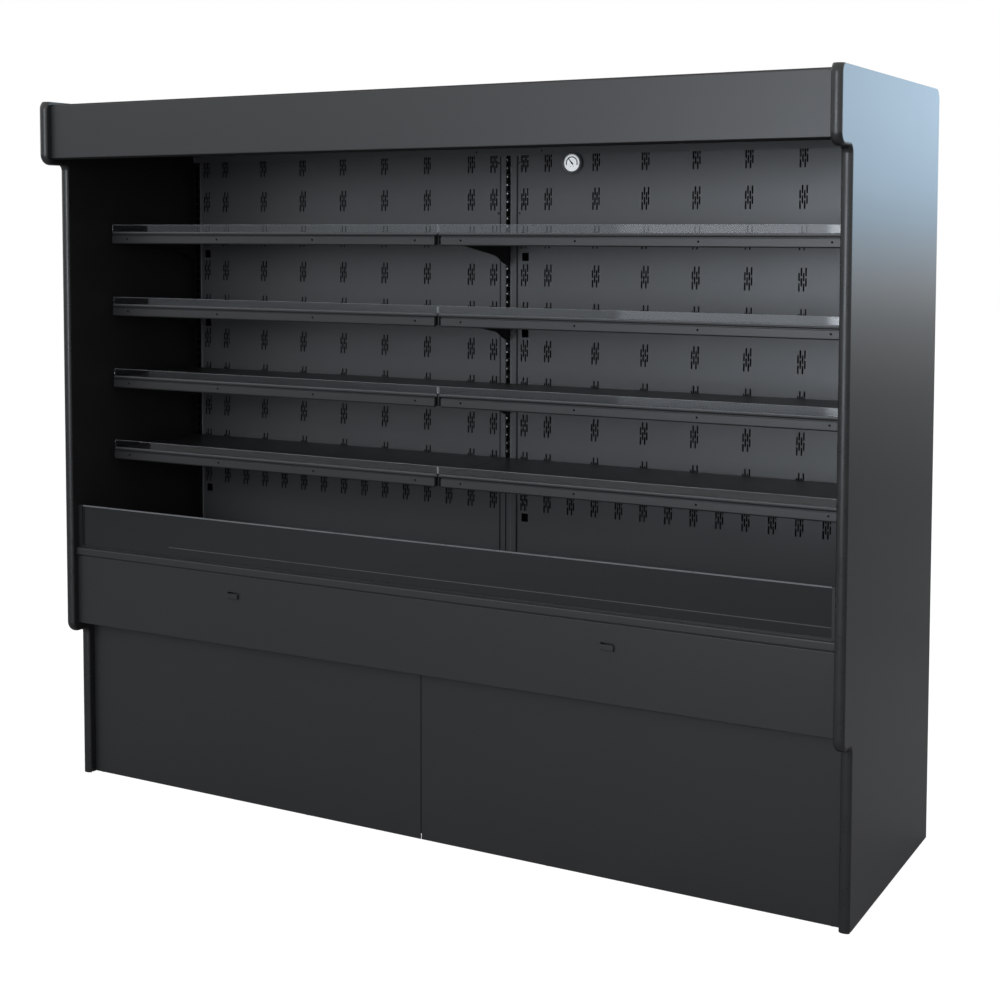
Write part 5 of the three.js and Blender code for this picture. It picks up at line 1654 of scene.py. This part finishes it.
@dataclass
class Front(SubAssembly):
    """The front below the opening: panel, catches, bumper rail, glass and kick panels."""

    panel_reach: float = 797.0
    panel_rear: float = 775.3
    panel_bottom: float = 490.0
    panel_top: float = 701.0
    sheet: float = 1.5
    catch: tuple[float, float] = (38.0, 16.0)
    catch_centre: float = 639.0
    catch_stand: float = 7.0
    bay_centre: float = 595.5
    rail_rear: float = 791.8
    rail_reach: float = 803.0
    rail: Flat = (704.0, 726.0)
    rail_radius: float = 3.2
    glass: Flat = (783.0, 789.0)
    glass_heights: Flat = (705.6, 858.0)
    glass_half: float = 1176.5
    line_height: float = 757.6
    line_start: float = -840.0
    kick_reach: float = 727.0
    kick_rear: float = 709.0
    kick_heights: Flat = (3.0, 482.0)
    kick_gap: float = 1.5

    def build(self) -> None:
        """Models the front from the panel down and up."""
        self._panel()
        self._rail()
        self._glass()
        self._kick()

    def _panel(self) -> None:
        """The folded front panel with its two lanced catches."""
        panel = Bench.sheet(
            "front_sheet",
            [
                (self.panel_rear, self.panel_top), (self.panel_reach, self.panel_top),
                (self.panel_reach, self.panel_bottom), (self.panel_rear, self.panel_bottom),
            ],
            (-FIT, FIT), self.sheet, 2.5, 4,
        )
        Bench.smooth(panel)
        width, height = self.catch
        low = self.catch_centre - height / 2
        catches = []
        for side in Side:
            x0 = side.sign * self.bay_centre - width / 2
            opening = Bench.slab("opening", (x0, x0 + width),
                                 (self.panel_reach - 4, self.panel_reach + 2),
                                 (low + 3, low + 3 + height))
            Bench.cut(panel, opening)
            hook = Bench.sheet(
                "catch",
                [
                    (self.panel_reach + self.catch_stand, low + height),
                    (self.panel_reach + self.catch_stand, low), (self.panel_reach - 1.4, low),
                ],
                (x0 + 0.3, x0 + width - 0.3), self.sheet, 2.2, 4,
            )
            catches.append(Bench.smooth(hook))
        made = Bench.join("front_sheet", [panel, *catches])
        self.hand_over(made, Palette.charcoal, "front_panel")

    def _rail(self) -> None:
        """The bumper rail with its round nose, and the dark joint under it."""
        low, high = self.rail
        rail = Bench.prism(
            "bumper_profile",
            [at(-FIT, r, z) for r, z in (
                (self.rail_rear, low), (self.rail_reach, low), (self.rail_reach, high),
                (self.rail_rear, high))],
            Vector((2 * FIT * MM, 0, 0)),
            [(at(-FIT, self.rail_reach, z), self.rail_radius * MM) for z in self.rail],
            8,
        )
        self.hand_over(Bench.smooth(rail, 50), Palette.rail, "bumper_rail")
        joint = Bench.bar("rail_joint", (-FIT, FIT), (self.rail_rear, self.panel_reach - 1.5),
                          (self.panel_top + 0.2, low - 0.2), 0.4)
        self.hand_over(joint, Palette.kick)

    def _glass(self) -> None:
        """The smoked front glass standing in the channel, with a pale band painted as the highlight
        on its top edge and a pale line painted as a reflection across it.
        """
        self.dress(Palette.dark_plastic, "glass_channel")
        rear, front = self.glass
        low, high = self.glass_heights
        half = self.glass_half
        glass = Bench.prism(
            "smoked_front_glass",
            [at(-half, r, z) for r, z in ((rear, low), (front, low), (front, high), (rear, high))],
            Vector((2 * half * MM, 0, 0)),
            [(at(-half, r, high), 1.6 * MM) for r in self.glass], 4,
        )
        self.hand_over(Bench.smooth(glass, 40), Palette.glass, "riser_glass", body="front_glass")
        # A pale band painted as the highlight on the glass's top edge.
        edge = Bench.bar("glass_top_edge_highlight", (-half + 1, half - 1), (rear + 1.7, front + 0.15),
                         (high - 4.4, high - 0.2), 0.1, 1)
        self.hand_over(edge, Palette.glass_edge, body="front_glass")
        # A pale line painted as a reflection across the glass; it starts partway along, as the
        # reflection does.
        line = Bench.bar("glass_reflection_line", (self.line_start, half - 1),
                         (front - 0.4, front + 0.12),
                         (self.line_height - 0.9, self.line_height + 0.9), 0.05, 1)
        self.hand_over(line, Palette.foot, body="front_glass")

    def _kick(self) -> None:
        """The two kick panels with their folded top edges."""
        low, high = self.kick_heights
        for side in Side:
            xs = side.span(self.kick_gap, FIT)
            panel = Bench.sheet(
                f"kick_sheet_{side.label}",
                [(self.kick_rear, high), (self.kick_reach, high), (self.kick_reach, low)],
                xs, self.sheet, 2.5, 4,
            )
            hem = Bench.slab("hem", xs, (self.kick_reach - 3.2, self.kick_reach - 1.7),
                             (low, low + 12.0))
            made = Bench.join(f"kick_sheet_{side.label}", [Bench.smooth(panel), hem])
            self.hand_over(made, Palette.kick, f"kick_panel_{side.label}",
                           body=f"kick_cover_{side.label}")
        strip = Bench.bar("kick_seam_strip", (-14.0, 14.0),
                          (self.kick_rear + 4, self.kick_reach - 2.2),
                          (low + 15.0, high - 2.5), 0.6)
        self.hand_over(strip, Palette.black)


# ------------------------------------------------------------------ dial


@dataclass
class Dial(SubAssembly):
    """The dial thermometer: a stepped case in a grey lightened as painted light, a printed face
    that glows as painted light, a needle and a clear window.
    """

    x: float = 210.5
    z: float = 1902.0
    foot: float = 203.8
    seat: float = 3.8
    radius: float = 33.0
    boss: float = 20.0
    rim_depth: float = 2.5
    depth: float = 8.0
    rim: float = 6.5
    face: float = 3.0
    lens: float = 6.0
    lens_thickness: float = 1.2
    rest_angle: float = 130.0
    ticks: int = 32
    sweep: Flat = (202.0, -22.0)
    arc_radius: float = 17.2
    arc_half: float = 1.6
    face_radius: float = 24.6

    def build(self) -> None:
        """Models the dial from its case to its window."""
        centre = at(self.x, self.foot, self.z)
        inner = self.radius - self.rim
        top = self.seat + self.depth
        face = self.seat + self.face
        case = Bench.turned(
            "dial_case", centre,
            [
                (0, 0), (self.boss, 0), (self.boss, self.seat), (self.radius - 0.6, self.seat),
                (self.radius, self.seat + 0.6), (self.radius, self.seat + self.rim_depth),
                (self.radius - 0.8, self.seat + self.rim_depth + 0.9),
                (inner + 2.6, top - 0.9), (inner + 1.8, top), (inner + 0.5, top),
                (inner, top - 0.6), (inner, face), (0, face),
            ],
            72,
        )
        # The case's pale grey is painted light.
        self.hand_over(Bench.smooth(case, 30), Palette.dial_case, "thermometer_case")
        wide = self.face_radius
        plate = Bench.turned("dial_face", centre, [(0, face + 0.05), (wide, face + 0.05),
                                                   (wide, face + 0.22), (0, face + 0.22)], 64)
        # The face's glow is painted light, standing in for light that its shaded place does not
        # get.
        self.hand_over(plate, Palette.white_plastic)
        self._print(centre, face + 0.22)
        self._needle(centre, face + 0.3)
        low = self.seat + self.lens
        high = low + self.lens_thickness
        window = Bench.turned(
            "dial_glass", centre,
            [(0, low), (inner - 0.3, low), (inner - 0.3, high - 0.3), (inner - 1.2, high),
             (0, high)],
            64,
        )
        self.hand_over(Bench.smooth(window, 30), Palette.lens, "thermometer_lens")

    def _print(self, centre: Vector, depth: float) -> None:
        """The printed scale: a broad arc, pale ticks outside it and two rivets.

        Args:
            centre: the dial's foot, in metres.
            depth: the face's depth, in millimetres.
        """
        start, end = (math.radians(v) for v in self.sweep)
        middle = centre + Vector((0, -depth * MM, 0))
        marks, arc = [], []
        for index in range(self.ticks + 1):
            turn = start + (end - start) * index / self.ticks
            place = (Matrix.Translation(middle) @ Matrix.Rotation(-turn, 4, "Y")
                     @ Matrix.Translation(Vector((0, -DEPTH / 2 * MM, 0))))
            mark = Bench.slab("mark", (self.face_radius - 3.4, self.face_radius - 0.8), (0, 0.08),
                              (-0.4, 0.4))
            mark.data.transform(place)
            marks.append(mark)
            if index < self.ticks:
                wide = (self.arc_radius * (start - end) / self.ticks) / 2 * 1.03
                reaches = (self.arc_radius - self.arc_half, self.arc_radius + self.arc_half)
                piece = Bench.slab("arc", reaches, (0, 0.1), (-2 * wide, 0))
                piece.data.transform(place)
                arc.append(piece)
        self.hand_over(Bench.join("dial_ticks", marks), Palette.pale_ink)
        rivets = [
            Bench.turned("rivet", middle + Vector((x * MM, 0, -11.0 * MM)),
                         [(0, 0), (1.3, 0), (1.1, 0.3), (0, 0.4)], 16)
            for x in (-4.6, 4.6)
        ]
        self.hand_over(Bench.join("dial_scale", arc + rivets), Palette.ink)

    def _needle(self, centre: Vector, depth: float) -> None:
        """The needle and its cap, at the angle it rests at.

        Args:
            centre: the dial's foot, in metres.
            depth: of the needle's back, in millimetres.
        """
        hub = centre + Vector((0, -depth, 0)) * MM
        blade = Bench.prism(
            "dial_needle",
            [hub + Vector((x, 0, z)) * MM
             for x, z in ((-7, -2.3), (18, -1.0), (18, 1.0), (-7, 2.3))],
            Vector((0, -0.5 * MM, 0)),
        )
        turn = Matrix.Translation(hub) @ Matrix.Rotation(
            -math.radians(self.rest_angle), 4, "Y") @ Matrix.Translation(-hub)
        blade.data.transform(turn)
        cap = Bench.turned("cap", hub, [(0, 0), (3.0, 0), (3.0, 0.7), (2.0, 1.2), (0, 1.3)], 24)
        made = Bench.join("dial_needle", [blade, Bench.smooth(cap, 40)])
        self.hand_over(made, Palette.ink, "thermometer_needle", body="dial_pointer")


# ------------------------------------------------------------------ deck and cold section


@dataclass
class Deck(SubAssembly):
    """The deck over the fans: folded pans with finger holes and the return grille."""

    rear: float = 215.0
    front: float = 648.0
    top: float = 665.0
    flange: float = 25.0
    sheet: float = 2.0
    middle_gap: float = 1.5
    finger_hole: float = 12.0

    def build(self) -> None:
        """Models both pans and dresses the grille."""
        for side in Side:
            xs = side.span(self.middle_gap, FIT)
            pan = Bench.sheet(
                f"deck_sheet_{side.label}",
                [
                    (self.rear, self.top - self.flange), (self.rear, self.top),
                    (self.front, self.top), (self.front, self.top - self.flange),
                ],
                xs, self.sheet, 2.5, 4,
            )
            Bench.smooth(pan)
            for x in (xs[0] + 60.0, xs[1] - 60.0):
                hole = Bench.round_bar("hole", at(x, self.front - 60.0, self.top), Axis.Z,
                                       self.finger_hole * MM, 20 * MM, 24)
                Bench.cut(pan, hole)
            self.hand_over(pan, Palette.inner, f"deck_pan_{side.label}",
                           body=f"deck_cover_{side.label}")
        self.dress(Palette.black, "return_grille")


def return_bend(x: float, run: float, reaches: Flat, z: float, radius: float) -> Piece:
    """A coil's bend, which joins two of its tubes past one end.

    Args:
        x: where the bend starts, in millimetres.
        run: how far it goes straight on.
        reaches: the two tubes' reaches.
        z: their height.
        radius: their radius.

    Returns:
        The bend.
    """
    rear, front = reaches
    path = ((x, rear), (x + run, rear), (x + 15, (rear + front) / 2), (x + run, front), (x, front))
    return Bench.pipe("bend", [at(a, reach, z) for a, reach in path], radius, 8)


@dataclass
class ColdSection(SubAssembly):
    """Fans, plenum and evaporator under the deck."""

    coil: tuple[float, float] = (270.0, 430.0)
    coil_half: float = 1120.7
    coil_bottom: float = 533.3
    coil_height: float = 122.0
    fin_thickness: float = 0.6
    fin_pitch: float = 9.0
    tube_radius: float = 5.0
    tube_rows: int = 4
    tube_lines: int = 3

    def build(self) -> None:
        """Models the finned coil and dresses the fans and their plate."""
        rear, front = self.coil
        low, high = self.coil_bottom, self.coil_bottom + self.coil_height
        fin = Bench.slab("fins", (-self.coil_half, -self.coil_half + self.fin_thickness),
                         (rear, front), (low, high))
        Bench.repeat(fin, int(2 * self.coil_half / self.fin_pitch),
                     Vector((self.fin_pitch * MM, 0, 0)))
        plates = [
            Bench.slab("plate", (x, x + 2.0), (rear, front), (low - 4.0, high + 7.0))
            for x in (-self.coil_half - 3.0, self.coil_half + 1.0)
        ]
        made = Bench.join("evaporator_fins", [fin, *plates])
        self.hand_over(made, Palette.aluminium, "evaporator_coil")
        tubes = []
        pitch = (front - rear) / self.tube_rows
        for row in range(self.tube_rows):
            reach = rear + (row + 0.5) * pitch
            for line in range(self.tube_lines):
                z = low + (line + 0.5) * self.coil_height / self.tube_lines
                tubes.append(Bench.round_bar("tube", at(0, reach, z), Axis.X,
                                             self.tube_radius * MM,
                                             2 * (self.coil_half + 4) * MM, 12))
                if row % 2 == 0:
                    tubes.append(return_bend(self.coil_half + 3.0, 14, (reach, reach + pitch), z,
                                             self.tube_radius))
        self.hand_over(Bench.join("evaporator_tubes", tubes), Palette.copper)
        self.dress(Palette.zinc, "fan_plenum")
        self.dress(Palette.dark_plastic, "evaporator_fan_left", "evaporator_fan_right")


# ------------------------------------------------------------------ base and machinery


@dataclass
class Machinery(SubAssembly):
    """Base frame, condensing unit, drip tray and rear cover."""

    floor: float = 105.8
    compressor_x: float = 430.0
    compressor_reach: float = 380.0
    compressor_radius: float = 95.0
    compressor_height: float = 245.0
    compressor_foot: float = 16.0
    condenser_xs: Flat = (700.0, 1040.0)
    condenser: Flat = (560.0, 620.0)
    condenser_height: float = 300.0
    fin_pitch: float = 3.2
    tube_lines: int = 8
    tube_radius: float = 4.5
    tube_offset: float = 14.0
    guard_rings: tuple[float, ...] = (48.0, 78.0, 108.0, 134.0)
    guard_spokes: tuple[float, ...] = (45.0, 135.0, 225.0, 315.0)
    fan_x: float = 870.0
    shroud_rear: float = 514.7
    louvre: Flat = (240.0, 12.0)
    louvre_pitch: float = 42.0
    louvre_rows: int = 5
    louvre_places: tuple[float, ...] = (-893.0, -297.7, 297.7, 893.0)
    cover_middle: float = 293.7
    cover_face: float = 18.2
    cover_screw_xs: tuple[float, ...] = (-1165.0, -874.0, -583.0, -292.0, 0.0, 292.0, 583.0, 874.0,
                                         1165.0)
    cover_screw_heights: Flat = (76.0, 468.0)

    def build(self) -> None:
        """Models what shows of the machinery and dresses the rest."""
        self.dress(Palette.black, "base_frame", "condenser_shroud")
        self.dress(Palette.zinc, "center_bulkhead", "machine_tray", "electrical_box", "rear_cover")
        self.dress(Palette.grey_plastic, "drip_tray")
        self.dress(Palette.dark_plastic, "condenser_fan")
        self._compressor()
        self._condenser()
        self._guard()
        self._louvres()

    def _compressor(self) -> None:
        """The hermetic compressor: a drawn shell with a rolled seam, on rubber feet."""
        base = self.floor + self.compressor_foot
        radius, height = self.compressor_radius, self.compressor_height
        centre = at(self.compressor_x, self.compressor_reach, base)
        shell = Bench.turned(
            "compressor_shell", centre,
            [(r * radius, z * height) for r, z in (
                (0, 0), (0.72, 0), (0.8, 0.03), (0.9, 0.07), (0.94, 0.14), (0.955, 0.42),
                (0.985, 0.425), (1.0, 0.435), (1.0, 0.465), (0.985, 0.475), (0.955, 0.48),
                (0.945, 0.72), (0.9, 0.84), (0.78, 0.93), (0.55, 0.98), (0.28, 0.998), (0, 1))],
            64, Axis.Z,
        )
        Bench.smooth(shell, 30)
        half = radius
        plate = Bench.bar(
            "plate", (self.compressor_x - half, self.compressor_x + half),
            (self.compressor_reach - half, self.compressor_reach + half), (base - 3, base + 2), 1.0)
        box = Bench.bar(
            "box", (self.compressor_x + half * 0.8, self.compressor_x + half + 34),
            (self.compressor_reach - 38, self.compressor_reach + 38), (base + 80, base + 165),
            4.0, 4)
        stub = Bench.round_bar(
            "stub", at(self.compressor_x - half * 0.4, self.compressor_reach, base + height + 8),
            Axis.Z, 5 * MM, 60 * MM, 16)
        made = Bench.join("compressor_shell", [shell, plate, box, stub])
        self.hand_over(made, Palette.enamel, "compressor")
        feet = []
        for sx in (-1, 1):
            for sy in (-1, 1):
                foot = at(self.compressor_x + sx * (half - 14),
                          self.compressor_reach + sy * (half - 14), self.floor)
                feet.append(Bench.smooth(Bench.turned(
                    "foot", foot,
                    [(0, 0), (11, 0), (12, 1.5), (8.5, 5), (8.5, 8), (12, 11), (11, 13), (0, 13)],
                    20, Axis.Z), 50))
        self.hand_over(Bench.join("compressor_feet", feet), Palette.dark_plastic)

    def _condenser(self) -> None:
        """The condenser: a stack of thin fins between end plates, threaded by copper tubes."""
        x0, x1 = self.condenser_xs
        rear, front = self.condenser
        low, high = self.floor, self.floor + self.condenser_height
        fin = Bench.slab("fins", (x0 + 2, x0 + 2.5), (rear, front), (low + 3, high - 3))
        Bench.repeat(fin, int((x1 - x0 - 4) / self.fin_pitch), Vector((self.fin_pitch * MM, 0, 0)))
        plates = [Bench.slab("plate", (x0, x1), (rear, front), span)
                  for span in ((low, low + 2), (high - 2, high))]
        sides = [Bench.slab("side", span, (rear, front), (low, high))
                 for span in ((x0, x0 + 1.5), (x1 - 1.5, x1))]
        made = Bench.join("condenser_fins", [fin, *plates, *sides])
        self.hand_over(made, Palette.aluminium, "condenser_coil")
        tubes = []
        middle = (rear + front) / 2
        reaches = (middle - self.tube_offset, middle + self.tube_offset)
        for line in range(self.tube_lines):
            z = low + (line + 0.5) * self.condenser_height / self.tube_lines
            for reach in reaches:
                tubes.append(Bench.round_bar("tube", at((x0 + x1) / 2, reach, z), Axis.X,
                                             self.tube_radius * MM, (x1 - x0 + 4) * MM, 12))
            tubes.append(return_bend(x1 + 1, 11, reaches, z, self.tube_radius))
        self.hand_over(Bench.join("condenser_tubes", tubes), Palette.copper)

    def _guard(self) -> None:
        """The wire guard over the condenser fan: rings on four spokes."""
        z = self.floor + self.condenser_height / 2
        face = self.shroud_rear - 1.5
        parts = []
        for radius in self.guard_rings:
            Bench.clear()
            bpy.ops.mesh.primitive_torus_add(
                major_radius=radius * MM, minor_radius=1.3 * MM, major_segments=64,
                minor_segments=8, location=at(self.fan_x, face - 1.5, z),
                rotation=(math.pi / 2, 0, 0))
            parts.append(Bench.smooth(Bench.settle(bpy.context.object, "ring"), 60))
        for turn in self.guard_spokes:
            a = math.radians(turn)
            spoke = [at(self.fan_x + r * math.cos(a), face - 0.2, z + r * math.sin(a))
                     for r in (34.0, 90.0, 144.0)]
            parts.append(Bench.pipe("spoke", spoke, 1.5, 8))
        self.hand_over(Bench.join("fan_guard", parts), Palette.screw)

    def _louvres(self) -> None:
        """The pressed hoods over the rear cover's slots, and the cover's screws."""
        length, height = self.louvre
        hoods = []
        for x in self.louvre_places:
            for row in range(self.louvre_rows):
                z = self.cover_middle + (row - (self.louvre_rows - 1) / 2) * self.louvre_pitch
                hoods.append((x, z))
        x, z = hoods[0]
        hood = Bench.prism(
            "louvre_hoods",
            [at(x - length / 2 - 4, self.cover_face - r, z + h)
             for r, h in ((0.0, height / 2 + 7), (2.5, height / 2 + 5.5), (7.5, -height / 2 + 3),
                          (7.5, -height / 2 + 1.6), (6.5, -height / 2 + 1.6),
                          (0.0, height / 2 + 3.5))],
            Vector(((length + 8) * MM, 0, 0)),
        )
        Bench.soften(hood, 0.8, 2, 40)
        copies = [Bench.copy(hood, "hood", Vector((px - x, 0, pz - z)) * MM)
                  for px, pz in hoods[1:]]
        self.hand_over(Bench.join("louvre_hoods", [hood, *copies]), Palette.zinc)
        heads = rear_heads(self.cover_face, 4.0, [(x, z) for x in self.cover_screw_xs
                                                  for z in self.cover_screw_heights])
        self.hand_over(Bench.join("cover_screws", heads), Palette.screw)


# ------------------------------------------------------------------ studio


@dataclass(frozen=True)
class Lamp:
    """An area lamp of the studio.

    Its place and target are in metres.
    """

    name: str
    place: Point
    target: Point
    size: tuple[float, float]
    power: float
    colour: Point = (1.0, 1.0, 1.0)

    def hang(self) -> Piece:
        """Adds the lamp, turned to its target."""
        Bench.clear()
        aim = (Vector(self.target) - Vector(self.place)).to_track_quat("-Z", "Y").to_euler()
        bpy.ops.object.light_add(type="AREA", location=self.place, rotation=aim)
        lamp = bpy.context.object
        lamp.name = self.name
        lamp.data.shape = "RECTANGLE"
        lamp.data.size, lamp.data.size_y = self.size
        lamp.data.energy = self.power
        lamp.data.color = self.colour
        lamp.visible_glossy = False
        lamp.visible_transmission = False
        return lamp


@dataclass(frozen=True)
class Card:
    """A glowing card that only reflections see, brighter along one or two directions.

    The corners are in metres. Each ramp gives an axis and (place along it, strength) pairs, and
    the strengths of the two ramps multiply.
    """

    name: str
    corners: tuple[Point, Point, Point, Point]
    ramps: tuple[tuple[int, tuple[Flat, ...]], ...]
    low_colour: Point = (1.0, 1.0, 1.0)
    high_colour: Point = (1.0, 1.0, 1.0)

    def stand(self) -> None:
        """Builds the card and hides it from everything but glossy rays."""
        card = Bench.draw(self.name, [Vector(corner) for corner in self.corners])
        bpy.ops.mesh.edge_face_add()
        bpy.ops.object.mode_set(mode="OBJECT")
        Bench.settle(card, self.name)
        card.data.materials.append(self._glow())
        card.visible_camera = False
        card.visible_diffuse = False
        card.visible_shadow = False
        card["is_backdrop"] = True

    def _glow(self) -> Material:
        """The card's material: emission by place."""
        pen = NodePen(self.name)
        parts = pen.add("ShaderNodeSeparateXYZ")
        pen.link(pen.place, parts.inputs["Vector"])
        strength = 1.0
        for axis, stops in self.ramps:
            start, end = stops[0][0], stops[-1][0]
            share = pen.spread(parts.outputs[axis], 0.0, 1.0, start, end)
            curve = pen.add("ShaderNodeFloatCurve")
            peak = max(value for _, value in stops)
            line = curve.mapping.curves[0]
            for index, (place, value) in enumerate(stops):
                spot = ((place - start) / (end - start), value / peak)
                if index in (0, len(stops) - 1):
                    line.points[0 if index == 0 else -1].location = spot
                else:
                    line.points.new(*spot)
            for point in line.points:
                point.handle_type = "VECTOR"
            curve.mapping.update()
            pen.link(share, curve.inputs["Value"])
            scaled = pen.maths("MULTIPLY", curve.outputs["Value"], peak)
            strength = pen.maths("MULTIPLY", strength, scaled)
            if axis == self.ramps[0][0]:
                hue = pen.tint(curve.outputs["Value"], self.low_colour, self.high_colour)
                pen.link(hue, pen.shader.inputs["Emission Color"])
        pen.set(Base_Color=(0, 0, 0, 1), Specular_IOR_Level=0.0)
        pen.link(strength, pen.shader.inputs["Emission Strength"])
        return pen.material


@dataclass
class Studio:
    """Camera, floor, background and lamps."""

    place: Point = (2.3419, -4.2441, 1.7189)
    azimuth: float = -0.52699
    tilt: float = 0.06201
    roll: float = -0.00052
    lens: float = 60.52
    shift: tuple[float, float] = (0.0699, -0.1702)
    ambient: float = 0.40
    floor_colour: float = 0.25
    lift: float = 0.90
    mirror_lift: float = 0.03
    lamps: tuple[Lamp, ...] = (
        Lamp("key", (-2.6, -5.6, 3.0), (0.2, 0.0, 1.1), (3.0, 2.4), 190.0),
        Lamp("front_fill", (1.6, -6.4, 2.6), (0.0, 0.0, 1.0), (3.0, 2.0), 110.0),
        Lamp("side_fill", (5.2, 0.8, 3.2), (1.2, 0.0, 1.0), (2.4, 2.4), 36.0),
        Lamp("top", (0.2, -0.6, 5.0), (0.0, -0.2, 0.0), (3.5, 3.0), 60.0),
    )
    cards: tuple[Card, ...] = (
        Card(
            "front_card",
            ((-10.0, -6.8, 0.0), (4.0, -6.8, 0.0), (4.0, -6.8, 3.0), (-10.0, -6.8, 3.0)),
            ((0, ((-10.0, 0.48), (-5.0, 0.55), (-3.4, 0.9), (-2.40, 1.0), (-2.34, 2.0),
                  (-0.90, 2.1), (-0.86, 6.8), (1.0, 6.8), (1.1, 1.2), (4.0, 1.2))),
             (2, ((0.0, 0.1), (0.48, 0.1), (0.53, 1.0), (3.0, 1.0)))),
            (0.91, 0.97, 1.05), (0.91, 0.97, 1.05),
        ),
        Card(
            "side_card",
            ((1.3, 3.0, 0.0), (6.0, 3.0, 0.0), (6.0, 3.0, 2.8), (1.3, 3.0, 2.8)),
            ((2, ((0.6, 0.20), (1.0, 0.29), (1.3, 0.54), (1.6, 1.24), (1.9, 2.1), (2.2, 2.5))),),
            (0.93, 0.97, 1.0), (0.70, 0.93, 1.15),
        ),
    )

    def build(self) -> None:
        """Sets up all of it."""
        self._camera()
        self._floor()
        self._world()
        for lamp in self.lamps:
            lamp.hang()
        for card in self.cards:
            card.stand()
        bpy.context.scene.view_settings.view_transform = "Standard"

    def _camera(self) -> None:
        """Stands the camera where the photograph was taken from."""
        a, e, r = self.azimuth, self.tilt, self.roll
        ahead = Vector((math.sin(a) * math.cos(e), math.cos(a) * math.cos(e), -math.sin(e)))
        right = Vector((math.cos(a), -math.sin(a), 0.0))
        up = right.cross(ahead)
        turned_right = right * math.cos(r) + up * math.sin(r)
        turned_up = up * math.cos(r) - right * math.sin(r)
        turn = Matrix((turned_right, turned_up, -ahead)).transposed()
        Bench.clear()
        bpy.ops.object.camera_add(location=self.place, rotation=turn.to_euler())
        camera = bpy.context.object
        camera.name = "camera"
        camera.data.sensor_width = 36.0
        camera.data.lens = self.lens
        camera.data.shift_x, camera.data.shift_y = self.shift
        camera.data.clip_end = 100.0
        bpy.context.scene.camera = camera

    def _floor(self) -> None:
        """A pale floor, which keeps the shadow and is white where nothing shades it."""
        Bench.clear()
        bpy.ops.mesh.primitive_plane_add(size=60.0, location=(0, 0, 0))
        floor = bpy.context.object
        floor.name = "floor"
        bpy.ops.object.mode_set(mode="EDIT")
        bpy.ops.mesh.select_all(action="SELECT")
        bpy.ops.mesh.subdivide(number_cuts=3)
        bpy.ops.object.mode_set(mode="OBJECT")
        pen = NodePen("pale_floor")
        pen.paint(pen.noise(3.0, 3.0), (self.floor_colour,) * 3, 0.99, 1.01)
        pen.set(Roughness=0.9, Specular_IOR_Level=0.2, Emission_Color=(1.0, 1.0, 1.0, 1.0))
        rays = pen.add("ShaderNodeLightPath").outputs
        seen = pen.maths("MAXIMUM", rays["Is Camera Ray"], rays["Is Transmission Ray"])
        mirrored = pen.maths("MULTIPLY", rays["Is Glossy Ray"], self.mirror_lift)
        share = pen.maths("MULTIPLY_ADD", seen, self.lift, mirrored)
        pen.link(share, pen.shader.inputs["Emission Strength"])
        floor.data.materials.append(pen.material)
        floor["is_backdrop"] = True

    def _world(self) -> None:
        """A white background, and a soft even light."""
        world = bpy.context.scene.world or bpy.data.worlds.new("studio")
        bpy.context.scene.world = world
        world.use_nodes = True
        world.node_tree.nodes.clear()
        pen = NodePen.on(world.node_tree)
        rays = pen.add("ShaderNodeLightPath").outputs
        clear = pen.maths("MAXIMUM", rays["Is Glossy Ray"], rays["Is Transmission Ray"])
        seen = pen.maths("MAXIMUM", rays["Is Camera Ray"], clear)
        soft = pen.add("ShaderNodeBackground", Color=(0.93, 0.96, 1.0, 1.0), Strength=self.ambient)
        white = pen.add("ShaderNodeBackground", Color=(1.0, 1.0, 1.0, 1.0), Strength=1.0)
        mix = pen.add("ShaderNodeMixShader")
        pen.link(seen, mix.inputs["Fac"])
        pen.link(soft.outputs["Background"], mix.inputs[1])
        pen.link(white.outputs["Background"], mix.inputs[2])
        pen.link(mix.outputs["Shader"], pen.add("ShaderNodeOutputWorld").inputs["Surface"])


def corners() -> dict[str, list[float]]:
    """The whole object's lowest and highest corner as plain lists."""
    low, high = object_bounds()
    return {"low": list(low), "high": list(high)}


def main() -> None:
    """Loads the frame, builds every sub-assembly over it, and lights it."""
    logging.basicConfig(level=logging.INFO, format="%(name)s: %(message)s")
    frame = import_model()
    before = corners()
    Studio().build()
    for kind in (EndPanels, Shell, BackWall, Shelves, Canopy, Front, Dial, Deck, ColdSection,
                 Machinery):
        start = time.monotonic()
        kind(frame).build()
        log.info("%s took %.1f s", kind.__name__, time.monotonic() - start)
    Bench.clear()
    after = corners()
    for name, value in (("before", before), ("after", after)):
        log.info("%s: %s", name, value)


if __name__ == "__main__":
    main()
